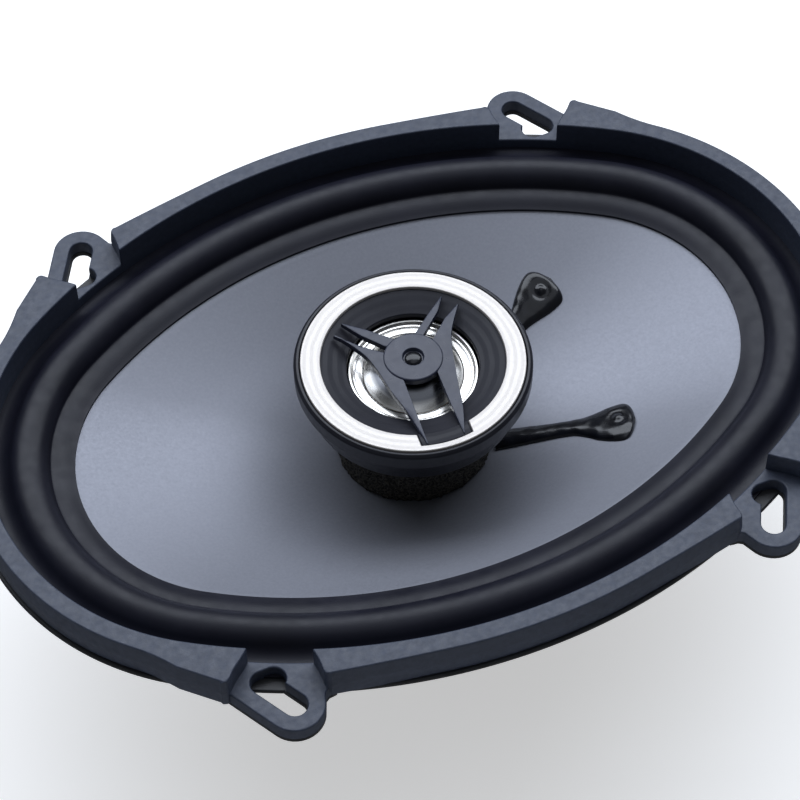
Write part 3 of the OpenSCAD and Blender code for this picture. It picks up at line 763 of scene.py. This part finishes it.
def make_trim_ring():
    parts = [raised_segment("side", np.array(m)) for m in ((1, 1), (1, -1))]
    parts += [raised_segment("end", np.array(m)) for m in ((1, 1), (-1, 1))]
    parts += [corner_pad(m) for m in CORNERS]
    piece("trim_ring_moulding", parts, "trim_plastic", "trim_ring")


# ------------ cone and suspension

def bend(made, body, share):
    """Takes a ring-shaped piece off its body and bakes its place into its points, then works out each
    vertex's smoothed share, which is 0 where it stays; nothing bends the piece.
    """
    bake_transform(free(made))
    w = np.clip(np.array([share(v) for v in made.data.vertices], float), 0, 1)
    w = w * w * (3 - 2 * w)


def radius_of(vertex):
    return hypot(vertex.co.x, vertex.co.y) / MM


def inset_of(x, y):
    """The inset of a point."""
    x, y = abs(x), abs(y)
    if y * JOIN_X <= (x - END_CENTRE) * JOIN_Y:
        return END_R - hypot(x - END_CENTRE, y)
    return SIDE_R - hypot(x, y + SIDE_CENTRE)


def free(made):
    """Takes a piece off its body."""
    made.parent = None
    return made


def make_surround():
    """Flat rim, half roll and the crowned band on the cone's edge, as one rubber skin."""
    middle = (ROLL_OUT + ROLL_IN) / 2
    r = (ROLL_IN - ROLL_OUT) / 2
    top = SHEET_T + RUBBER_T
    lift = degrees(asin(RUBBER_T / r))
    band = []
    for t in np.linspace(0.04, 1, 10):
        crown = 0.32 * sin(pi * min(1, t * 1.05)) ** 1.2 if t < 0.95 else 0.0
        band.append((ROLL_IN + (BAND_IN - ROLL_IN) * t, top + (BAND_Z + RUBBER_T - top) * t + crown))
    # a wide fillet leads from the flat rim into the roll
    start, steep = np.array([6.2, top]), 148
    end = np.array([middle, SHEET_T]) + spoke(radians(steep), r)
    knee = np.array([end[0] - (end[1] - top) * tan(radians(180 - steep)), top])
    upper = [(RUBBER_OUT, top)] + [tuple(start * (1 - t) ** 2 + knee * 2 * t * (1 - t) + end * t ** 2)
                                   for t in np.linspace(0, 1, 8)[:-1]]
    upper += arc((middle, SHEET_T), r, steep, lift + 3, 25) + band
    lower = [(BAND_IN, BAND_Z), (ROLL_IN, SHEET_T)] + arc((middle, SHEET_T), r - RUBBER_T, 0, 180, 23)
    lower += [(ROLL_OUT, SHEET_T), (RUBBER_OUT, SHEET_T)]
    made = piece("surround_roll", [oval_sweep(upper + lower)], "surround_rubber", "surround",
                 sharp=50)
    bend(made, MOVING,
         lambda v: (inset_of(v.co.x / MM, v.co.y / MM) - ROLL_OUT) / (ROLL_IN - ROLL_OUT))


def polar_oval(angle, inset):
    """Radius of the oval at this inset, in the direction of an angle about the middle."""
    c, s = abs(cos(angle)), abs(sin(angle))
    r = END_R - inset
    reach = END_CENTRE * c + sqrt(max(0.0, r * r - (END_CENTRE * s) ** 2))
    if atan2(reach * s, reach * c - END_CENTRE) <= JOIN:
        return reach
    r = SIDE_R - inset
    return -SIDE_CENTRE * s + sqrt(r * r - (SIDE_CENTRE * c) ** 2)


def cone_z(x, y):
    """Height of the cone's upper face."""
    edge = polar_oval(atan2(y, x), BAND_IN)
    share = (hypot(x, y) - NECK_R) / (edge - NECK_R)
    return NECK_Z + (BAND_Z - CONE_GAP - NECK_Z) * share


def make_cone():
    """Straight-sided cone from the round neck to the oval edge, and a rim on under the band."""
    steps, rows, under = 240, 26, 0.4
    rim_z = SHEET_T + (BAND_Z - SHEET_T) * under / (BAND_IN - ROLL_IN) - CONE_GAP
    angles = [TAU * k / steps for k in range(steps)]
    upper = []
    for j in range(rows + 1):
        flat = [spoke(a, NECK_R + (polar_oval(a, BAND_IN) - NECK_R) * j / rows) for a in angles]
        upper.append([(x, y, cone_z(x, y)) for x, y in flat])
    upper.append([(*spoke(a, polar_oval(a, ROLL_IN + under)), rim_z) for a in angles])
    lower = [[(x, y, z - CONE_T) for x, y, z in ring] for ring in upper]
    rings = lower[-2::-1] + upper + lower[-1:]
    piece("cone_body", [skin(rings, wrap=True)], "cone_poly", "cone", body=MOVING, sharp=50)


def make_spider():
    """Corrugated cloth from the coil former to the basket's ledge."""
    inner, outer, flat, waves, t = 12.98, 36.0, 4.0, 4, 0.5
    z0 = LEDGE_Z + t / 2
    span = outer - flat - inner - 2
    middle = [(inner, z0)] + [(inner + 2 + span * q, z0 + 0.55 * (1 - cos(TAU * waves * q)))
                              for q in np.linspace(0, 1, 72)] + [(outer, z0)]
    profile = [(r, z + t / 2) for r, z in middle] + [(r, z - t / 2) for r, z in reversed(middle)]
    made = piece("spider_cloth_ring", [lathe(profile)], "spider_cloth", "spider", sharp=60)
    bend(made, MOVING, lambda v: (outer - flat - radius_of(v)) / span)


def make_foam():
    """Open-cell foam ring between the tweeter's post and the cone, with a torn lower edge."""
    top, steps, rows, hole_r = -1.4, 220, 26, 13.7
    rings = []
    for k in range(steps):
        direction = spoke(TAU * k / steps)
        ragged = 0.5 * noise.noise(Vector((*direction * 5, 3.1)))
        ring = [(hole_r, top)]
        for t in np.linspace(0, 1, rows):
            r = 20.4 - 2.6 * t ** 0.8
            foot = cone_z(*(17.9 * direction)) + 0.25 + ragged * 0.6
            z = top + (foot - top) * t
            pore, fine = (noise.noise(Vector((*r * direction, z)) * scale) for scale in (1.1, 2.9))
            ring.append((r + 0.42 * pore + 0.3 * fine + ragged * t, z))
        ring.append((hole_r, NECK_Z + 0.9))
        rings.append([(r * direction[0], r * direction[1], z) for r, z in ring])
    made = piece("foam_ring", [skin(rings, wrap=True)], "foam", "foam_dust_ring", sharp=80)
    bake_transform(free(made))


SIDE_NAME = {-1: "right", 1: "left"}


def make_cement():
    """Cement over each coil lead: a runnel from the cone's middle and a drop round the eyelet."""
    # each runs through stations: distance from the middle, half width and height above the cone
    stations = [(19, 3.0, 1.3), (23, 2.9, 1.35), (27, 2.7, 1.3), (31, 2.45, 1.25), (34.5, 2.35, 1.25),
                (37.5, 2.5, 1.3), (40, 3.0, 1.4), (42.5, 3.9, 1.6), (44.8, 4.7, 1.8), (47, 5.1, 1.9),
                (50.6, 5.2, 1.7)]
    rows, across, blunt = 90, 30, 3.2
    marks = np.array(stations)
    for side in (-1, 1):
        c, s = cos(LEAD_ANGLE), side * sin(LEAD_ANGLE)
        upper, lower = [], []
        for j in range(rows + 1):
            x = marks[0][0] + (marks[-1][0] - marks[0][0]) * (1 - (1 - j / rows) ** 1.4)
            width, height = (np.mean([np.interp(x + step, marks[:, 0], marks[:, k])
                                      for step in (-1, 0, 1)]) for k in (1, 2))
            # the drops differ: one is wider and sits a little to one side of its runnel
            drop = min(1.0, max(0.0, (x - 37) / 5))
            width *= 1 + (0.16 if side < 0 else 0.08) * drop
            aside = (-0.8 if side < 0 else 0.2) * drop
            close = max(0.0, 1 - (marks[-1][0] - x) / blunt)
            width *= sqrt(max(0.02, 1 - close ** 2.4))
            height *= sqrt(max(0.2, 1 - close ** 3))
            row, foot = [], []
            for k in range(across + 1):
                v = cos(pi * k / across)
                y = width * v + aside
                px, py = x * c - y * s, x * s + y * c
                rise = height * (1 - abs(v) ** 2.4) ** 0.6
                # the eyelet's button shows through the drop, with a dip round it
                away = hypot(x - EYELET_R, y)
                rise += 0.35 * exp(-(away / 0.9) ** 2) - 0.4 * exp(-((away - 1.6) / 0.7) ** 2)
                rise += 0.1 * noise.noise(Vector((px * 0.5, py * 0.5, side)))
                base = cone_z(px, py) + 0.06
                row.append((px, py, base + max(0.03, rise)))
                foot.append((px, py, base - 0.02))
            upper.append(row)
            lower.append(foot)
        rings = [u + f[::-1][1:-1] for u, f in zip(upper, lower)]
        made = piece("lead_cement_" + SIDE_NAME[side], [capped(rings)], "cement", "coil_lead_cement",
                     body=MOVING, sharp=70)
        made.modifiers.new("smooth", "SMOOTH").iterations = 1


def make_leads():
    """Tinsel leads from the cone's eyelets to the terminal tabs."""
    board_x, _, board_z = BOARD
    x, y = spoke(LEAD_ANGLE, EYELET_R)
    start = cone_z(x, y) - CONE_T
    for side in (-1, 1):
        route = [(x, side * y, start - 1.7), (x, side * y, -12.5), (x + 2, side * (y - 2), -17),
                 (x + 7, side * (y - 6), -20.5), (board_x - 5, side * (TAB_Y + 2.2), -21.6),
                 (board_x - 1, side * TAB_Y, board_z + 1.3)]
        made = piece("tinsel_lead_" + SIDE_NAME[side], [tube(route, 0.5)], "copper",
                     "tinsel_leads")
        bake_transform(free(made))


# ------------ tweeter

def make_housing():
    """Round pod: a bead round its mouth, a step, a tapered wall and a rounded floor."""
    profile = fillet(
        [(4.1, 0), (9.2, 0), (12, -1.2), (21.0, -1.2), (24.0, 0.9), (25.7, 6.9), (25.9, 7.6),
         (26.75, 8.2), (26.8, 11.9), (26.1, 12.6), (25.55, 12.5), (25.5, 11.2), (24.2, 11),
         (24.2, 4.5), (22.6, 1.6), (4.1, 1.6)],
        [0.3, 1, 1, 2.4, 2.4, 0.8, 0.3, 0.5, 0.7, 0.35, 0.2, 0.1, 0.1, 1, 1, 0.3], 6)
    piece("pod_housing", [lathe(profile)], "housing_plastic", "tweeter_housing", sharp=40)


def make_silver_ring():
    """Thin bright ring, with a notch cut in its inner edge."""
    notch, notch_w, far_r = radians(-94.8), 12.0, RING_IN + 3.0
    half, far_half = (asin(notch_w / 2 / r) for r in (RING_IN, far_r))
    inner = fan(RING_IN, notch + half, notch + TAU - half, 170)
    inner += fan(far_r, notch - far_half, notch + far_half, 14)
    ring = plate(circle((0, 0), RING_R, 200), [inner], RING_SEAT, RING_TOP, 0.22)
    pad = fan(RING_IN - 0.4, notch - half + 0.01, notch + half - 0.01, 14)
    pad += fan(far_r - 0.25, notch + far_half - 0.012, notch - far_half + 0.012, 14)
    piece("silver_trim_ring", [ring], "silver_trim", "silver_ring")
    piece("notch_pad", [plate(pad, [], RING_SEAT - 0.1, RING_SEAT + 0.45, 0.15)], "housing_plastic",
          paint="funnel_plastic")


def make_funnel():
    """Black face inside the silver ring, one slope down to the tweeter's mouth."""
    profile = fillet(
        [(14.9, 9.0), (14.9, 10.25), (20.4, 12.0), (RING_R, 12.0), (RING_R, 11), (23, 11), (22.4, 9.4),
         (17, 9)],
        [0.15, 0.35, 0.5, 0.1, 0.1, 0.1, 0.3, 0.3], 6)
    piece("pod_face", [lathe(profile)], "housing_plastic", "tweeter_funnel", sharp=40,
          paint="funnel_plastic")


def make_guard():
    """Round hub with a dimple, on three webs whose pointed blades reach over the pod's face."""
    left = smooth_run([(-13.8, 13.1), (-12.4, 10.9), (-11.1, 8.3), (-9.5, 4.3), (-8.8, 0.2),
                       (-8.5, -3.6), (-8.2, -7.4), (-7.6, -11.2), (-7.1, -15), (-6.8, -18.8),
                       (-6.5, -22.6)], 7)
    left += [(-6.25, -22.5), (-5.4, -14), (-4.4, -5), (-3.4, -0.8), (-5, 3.6), (-9.4, 7.7),
             (-13.6, 13.3)]
    right = smooth_run([(15.7, 10.2), (13.2, 6.8), (10.9, 3.3), (9.2, -0.8), (8, -4.8), (6.2, -11),
                        (4.6, -16.9), (2.2, -23.1)], 7)
    right += [(1.95, -23.1), (2.4, -15), (3.3, -5.6), (3.4, -1.2), (5.6, 2.6), (10.9, 7.4),
              (15.5, 10.4)]
    top = [(12.9, 13.9), (8.3, 10.3), (3, 6.1), (0, 6.2), (-1.7, 6.5), (-6.3, 11.4), (-10.7, 15.8),
           (-10.95, 15.6), (-8.3, 10.4), (-4.6, 5.4), (0, 3.6), (4.2, 4.4), (10.5, 10), (13.15, 13.7)]
    low, high = RING_SEAT + 0.02, RING_SEAT + GUARD_T
    webs = []
    for outline in (left, right, top):
        points, faces = plate(outline, [], low, high, 0.3, steps=2)
        # the blades get thinner towards their points
        webs.append(([(x, y, z - (max(0.0, (hypot(x, y) - 14) / 12) if z > low + 0.5 else 0))
                      for x, y, z in points], faces))
    hub_top = high + 0.3
    floor = hub_top - 0.9
    hub = fillet([(AXIS, low), (HUB_R, low), (HUB_R, hub_top), (2.45, hub_top), (2.2, floor + 0.05),
                  (AXIS, floor)], [0, 0.2, 0.45, 0.2, 0.1, 0], 5)
    bead = [(AXIS, floor)] + [(1.95 * x, floor + 0.1 + 0.8 * y) for x, y in fan(1, 0, 1.569, 12)]
    piece("guard_bridge", webs + [lathe(hub, 96)], "gloss_black", "tweeter_guard", sharp=40)
    piece("guard_bead", [lathe(bead, 48)], "gloss_black", sharp=80, paint="cement")


def make_dome():
    """Metal dome with a rolled edge, its roll-shaped surround and the polished ring that clamps it."""
    base, rise, edge = DOME_BASE, 3.2, 11.2
    big = (edge ** 2 + rise ** 2) / (2 * rise)
    cap = [(max(AXIS, big * s), base + rise - big + big * c)
           for c, s in fan(1, 0, asin(edge / big), 24)]
    under = [(max(AXIS, r - 0.12), z - 0.2) for r, z in reversed(cap)]
    piece("tweeter_dome_cap", [lathe(cap + under, 128)], "dome_metal", "tweeter_dome", body=DOME)
    roll_mid, roll_r, under_r, flatten = 12.2, 0.85, 0.65, 0.15
    roll = [(roll_mid + x, base + flatten * y) for x, y in fan(roll_r, pi, 0, 15)]
    roll += [(roll_mid + x, base - 0.1 + flatten * y) for x, y in fan(under_r, 0, pi, 15)]
    made = piece("tweeter_edge_roll", [lathe(roll)], "tweeter_rubber", "tweeter_surround", sharp=60,
                 paint="ring_metal")
    bend(made, DOME, lambda v: (roll_mid + roll_r - radius_of(v)) / (2 * roll_r))
    clamp = fillet([(DOME_CLAMP_R, base), (14.6, base), (14.6, base + 1), (14.05, base + 1),
                    (13.6, base + 0.25), (DOME_CLAMP_R, base + 0.25)],
                   [0.05, 0.05, 0.15, 0.15, 0.1, 0.05], 4)
    piece("tweeter_clamp_ring", [lathe(clamp)], "ring_metal", "diaphragm_ring")


# ------------ basket and motor

def make_basket():
    """Pressed steel: flange and collar, ears, six channel arms, the dish and the terminal bracket."""
    collar = fillet([(0, 0), (0, SHEET_T), (9.8, SHEET_T), (15, -11), (13.8, -11), (7.8, 0)],
                    [0.35, 0.35, 1.6, 0.3, 0.3, 2.6], 5)
    parts = [oval_sweep(collar)]
    ear = ear_outline() + [np.array(p) for p in ((71, 49.5), (58, 56.2), (50, 59.5), (46.2, 61))]
    parts += [plate(ear, [slot_outline(SLOT_R)], 0.03, SHEET_T - 0.03, 0.2, low_edge=0.2, mirrored=m)
              for m in CORNERS]
    dish = fillet([(38, LEDGE_Z), (38, LEDGE_Z - SHEET_T), (30.5, LEDGE_Z - SHEET_T),
                   (28, DISH_Z - SHEET_T), (15, DISH_Z - SHEET_T), (15, DISH_Z), (27, DISH_Z),
                   (29.5, LEDGE_Z)],
                  [0.3, 0.3, 1.8, 1.8, 0.2, 0.2, 1.4, 1.4], 5)
    parts.append(lathe(dish))
    parts += [basket_arm(radians(turn)) for turn in (0, 55, 125, 180, 235, 305)]
    low, half = BOARD[2], 7
    land = fillet([(52, -half), (70, -half), (70, half), (52, half)], 1.2)
    parts.append(plate(land, [], low, low + SHEET_T, 0.25, low_edge=0.25))
    cheek = fillet([(52.2, low + 0.3), (69.8, low + 0.3), (69.8, -14.5), (52.2, -19.5)], 0.6)
    points, faces = plate(cheek, [], 0, SHEET_T, 0.2, low_edge=0.2)
    parts += [([(px, y + pz, py) for px, py, pz in points], faces) for y in (-half, half - SHEET_T)]
    piece("pressed_basket", parts, "black_steel", "basket", sharp=40)


def basket_arm(angle):
    """Channel section from the dish's rim up into the collar."""
    half, cheek, r = 7.0, 4.0, 1.5
    collar = polar_oval(angle, 15)
    foot, top, bend, climb = 35.0, collar + 0.5, 36.5, 15.8
    c, s = spoke(angle)
    rings = []
    for t in np.linspace(0, 1, 24):
        reach = foot + (top - foot) * t
        line = LEDGE_Z + (reach - bend) / (collar + 0.6 - bend) * climb
        z = max(line, LEDGE_Z) + 0.25 * exp(-((reach - bend) / 2.5) ** 2)
        depth = cheek * min(1.0, 0.32 + (reach - foot) / 5) * min(1.0, 0.35 + (top - reach) / 7)
        depth = max(depth, SHEET_T + 0.1)
        left, right, inner_r = (-half + r, -r), (half - r, -r), r - SHEET_T
        section = [(-half, -depth)] + arc(left, r, 180, 90, 5) + arc(right, r, 90, 0, 5)
        section += [(half, -depth), (half - SHEET_T, -depth)] + arc(right, inner_r, 0, 90, 5)
        section += arc(left, inner_r, 90, 180, 5) + [(-half + SHEET_T, -depth)]
        # near its ends the channel is shallow, and each point stays a hair above the one before it
        section = [(v, max(h, -depth + 0.001 * i)) for i, (v, h) in enumerate(section)]
        rings.append([(reach * c - v * s, reach * s + v * c, z + h) for v, h in section])
    points, faces = skin(rings)
    n = len(rings[0])
    for base in (0, len(points) - n):
        faces += [(base + i, base + i + 1, base + n - 2 - i, base + n - 1 - i)
                  for i in range(n // 2 - 1)]
    return points, faces


def make_motor():
    """Steel plates, ferrite ring, rivets and the post that carries the tweeter."""
    plate_r, plate_t = 34.0, 5.0
    top_z = DISH_Z - SHEET_T - plate_t
    top = fillet([(14, top_z), (plate_r, top_z), (plate_r, top_z + plate_t), (14, top_z + plate_t)],
                 [0.3, 0.9, 0.9, 0.3])
    piece("motor_top_plate", [lathe(top)], "plated_steel", "top_plate")
    magnet_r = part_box("ferrite_magnet")[1][0] / MM
    magnet = fillet([(18, MAGNET_Z), (magnet_r, MAGNET_Z), (magnet_r, top_z), (18, top_z)],
                    [0.4, 0.8, 0.8, 0.4])
    piece("motor_magnet", [lathe(magnet)], "ferrite", "ferrite_magnet")

    pole_r, pole_top, bore_r, well_r, well_z = 12.0, -33.7, 3.05, 7.0, -54.6
    groove, groove_z = 1.7, -56.2
    pole = fillet([(bore_r, well_z), (well_r, well_z), (well_r, groove_z), (plate_r, groove_z),
                   (plate_r, MAGNET_Z), (pole_r, MAGNET_Z), (pole_r, pole_top), (bore_r, pole_top)],
                  [0.1, 0.1, 0.1, 0.02, 0.9, 0.6, 0.5, 0.2])
    start, well = (degrees(asin(groove / r)) for r in (plate_r, well_r))
    lower = arc((0, 0), plate_r, start, 360 - start, 150) + arc((0, 0), well_r, 360 - well, well, 60)
    points, faces = plate(lower, [], -groove_z - 0.02, -BACK_Z, 0.6)
    floor = [(x, y, -z) for x, y, z in points], faces
    piece("motor_back_plate", [lathe(pole), floor], "plated_steel", "back_plate")

    head = [(AXIS, DISH_Z), (2.8, DISH_Z)]
    head += [(2.8 * x, DISH_Z + 1.05 * y) for x, y in fan(1, 0.2, 1.5, 8)]
    rivets = [lathe(head + [(AXIS, DISH_Z + 1.04)], 32, spoke(radians(turn), 22))
              for turn in (45, 135, 225, 315)]
    piece("motor_rivets", rivets, "rivet_steel", "plate_rivets")

    foot = BACK_Z + 2.2
    post = fillet([(1.7, foot), (3, foot), (3, pole_top), (4.5, pole_top), (4.5, -5), (6, -2), (9, -2),
                   (9, 0), (4, 0), (4, 1.2), (1.7, 1.2)],
                  [0.1, 0.3, 0, 0.2, 2, 1, 0.4, 0.2, 0, 0.3, 0.2])
    piece("post_moulding", [lathe(post, 64)], "post_plastic", "tweeter_post")
    nut = fillet(circle((0, 0), 5.6, 6), 0.35, 3)
    nut = plate(nut, [circle((0, 0), 3.03, 40)], foot + 0.2, foot + 1.4, 0.2, low_edge=0.25)
    piece("post_hex_nut", [nut], "brass", "post_nut")


# ------------ terminals and wiring

def on_board(part):
    return [(x + BOARD[0], y + BOARD[1], z + BOARD[2]) for x, y, z in part[0]], part[1]


def tab_blade(width):
    """Push-on tab: a foot on the board, and a blade bent down to a pointed end."""
    bend, foot_top = 0.9, -BOARD_T
    outline = [(-3, foot_top), (5 - bend, foot_top)] + arc((5 - bend, foot_top - bend), bend, 90, 0, 6)
    tip = foot_top - TAB_DROP
    outline += [(5, tip + 1.2), (4.7, tip), (4.5, tip), (4.2, tip + 1.2)]
    outline += [(4.2, foot_top - bend), (4.1, foot_top - TAB_T), (-3, foot_top - TAB_T)]
    points, faces = plate(outline, [], -width / 2, width / 2, 0.15, steps=2, low_edge=0.15)
    return [(px, pz, py) for px, py, pz in points], faces


def button(radius, last, count, middle):
    """Outline of a rivet's domed head."""
    rim = [(radius * x, 0.68 * y) for x, y in fan(1, 0.25, last, count)]
    return [(AXIS, 0), (radius, 0)] + rim + middle


def riveted(shape, at, upper_z, lower_z):
    """Two heads of this outline, one up on the upper face and one down from the lower."""
    return [on_board(lathe([(r, lift + flip * z) for r, z in shape], 32, at))
            for lift, flip in ((upper_z, 1), (lower_z, -1))]


def make_terminals():
    rivet_at = (3.6, 0)
    holes = [circle((0, s * TAB_Y), 1.25, 24) for s in (-1, 1)] + [circle(rivet_at, 1.5, 24)]
    board = plate(fillet([(-6, -14), (6, -14), (6, 14), (-6, 14)], 1.2), holes, -BOARD_T, 0, 0.12,
                  low_edge=0.12)
    piece("terminal_strip", [on_board(board)], "fibre_board", "terminal_board")
    for name, node, width, side in (("wide_tab", "terminal_positive", 4.8, 1),
                                    ("narrow_tab", "terminal_negative", 2.8, -1)):
        points, faces = tab_blade(width)
        moved = [(x, y + side * TAB_Y, z) for x, y, z in points]
        piece(name, [on_board((moved, faces))], "tab_brass", node)
    shape = button(1.9, 1.3, 6, [(0.7, 0.45), (AXIS, 0.3)])
    heads = [head for side in (-1, 1)
             for head in riveted(shape, (0, side * TAB_Y), 0, -BOARD_T - TAB_T)]
    piece("tab_rivets", heads, "brass", "terminal_rivets")
    ends = riveted(button(2.2, 1.5, 6, [(AXIS, 0.68)]), rivet_at, SHEET_T, -BOARD_T)
    piece("strip_rivet", ends, "rivet_steel", "board_rivet")


def make_capacitor():
    """Sleeved can with rolled ends and a bare lead bent over to the wide tab."""
    r, length, x0, y0, z0 = 2.5, 10.5, -7.5, 4.75, -BOARD_T - CAN_DROP
    end = length - 0.4
    profile = fillet([(AXIS, 0), (r - 0.35, 0), (r - 0.35, 0.35), (r, 0.6), (r, 8.7), (r - 0.28, 9.2),
                      (r, 9.7), (r, length), (r - 0.5, length), (r - 0.6, end), (AXIS, end)],
                     [0, 0.1, 0.1, 0.3, 0.3, 0.4, 0.3, 0.3, 0.1, 0.1, 0], 4)
    points, faces = lathe(profile, 48)
    can = ([(x0 + z, y0 + x, z0 + y) for x, y, z in points], faces)
    x1 = x0 + length
    lead = tube([(x1 - 0.6, y0, z0), (x1 + 0.7, y0, z0), (x1 + 1.3, y0 + 0.3, z0 + 0.1),
                 (x1 + 0.9, y0 + 2, z0 + 0.7), (x1 + 0.4, TAB_Y - 1.2, -BOARD_T - TAB_T - 0.35)],
                0.3, 10)
    piece("capacitor_can", [on_board(can)], "capacitor_sleeve", "capacitor")
    piece("capacitor_lead", [on_board(lead)], "rivet_steel")


def make_wires():
    """The tweeter's pair, down the hollow post, along the groove and up to the board."""
    r = 0.6
    tab_z = BOARD[2] - BOARD_T - TAB_T - 0.7 - r - 0.05
    can_z = BOARD[2] - BOARD_T - CAN_DROP
    route = [(0, 0.7, 6.6), (0, 0.7, -20), (0, 0.7, -50), (0, 0.7, -54.5), (1.2, 0.7, -56.4),
             (4, 0.7, -56.9), (20, 0.7, -56.9), (33, 0.7, -56.9), (38, 0.7, -55.8), (41.2, 0.7, -52.5),
             (41.4, 0.8, -45), (42, 1.4, -36), (46, 3, -30.6)]
    first = [(x, -y, z) for x, y, z in route]
    first += [(52, -6, -29.4), (57, -8.8, tab_z - 0.2), (BOARD[0] - 0.5, 0.2 - TAB_Y, tab_z)]
    second = route + [(50, 4.3, can_z - 0.4), (BOARD[0] - 7.6, 4.75, can_z)]
    for name, path in (("tweeter_wire_a", first), ("tweeter_wire_b", second)):
        piece(name, [tube(path, r, 14)], "wire_insulation", "tweeter_wires")


# ------------ assembly

def dress_hidden_nodes():
    """Better materials for the CAD nodes that stay: coils, eyelets and the tweeter's motor."""
    slots = {n["node"]: n["material_slot"] for n in frame["record"]["subparts"]}
    for name, node in frame["nodes"].items():
        if not node.hide_render:
            for place in node.material_slots:
                place.material = MATERIALS[slots[name]]


for make in (add_camera, add_studio, make_trim_ring, make_basket, make_surround, make_cone,
             make_spider, make_foam, make_cement, make_leads, make_housing, make_silver_ring,
             make_funnel, make_guard, make_dome, make_motor, make_terminals, make_capacitor,
             make_wires, dress_hidden_nodes):
    make()
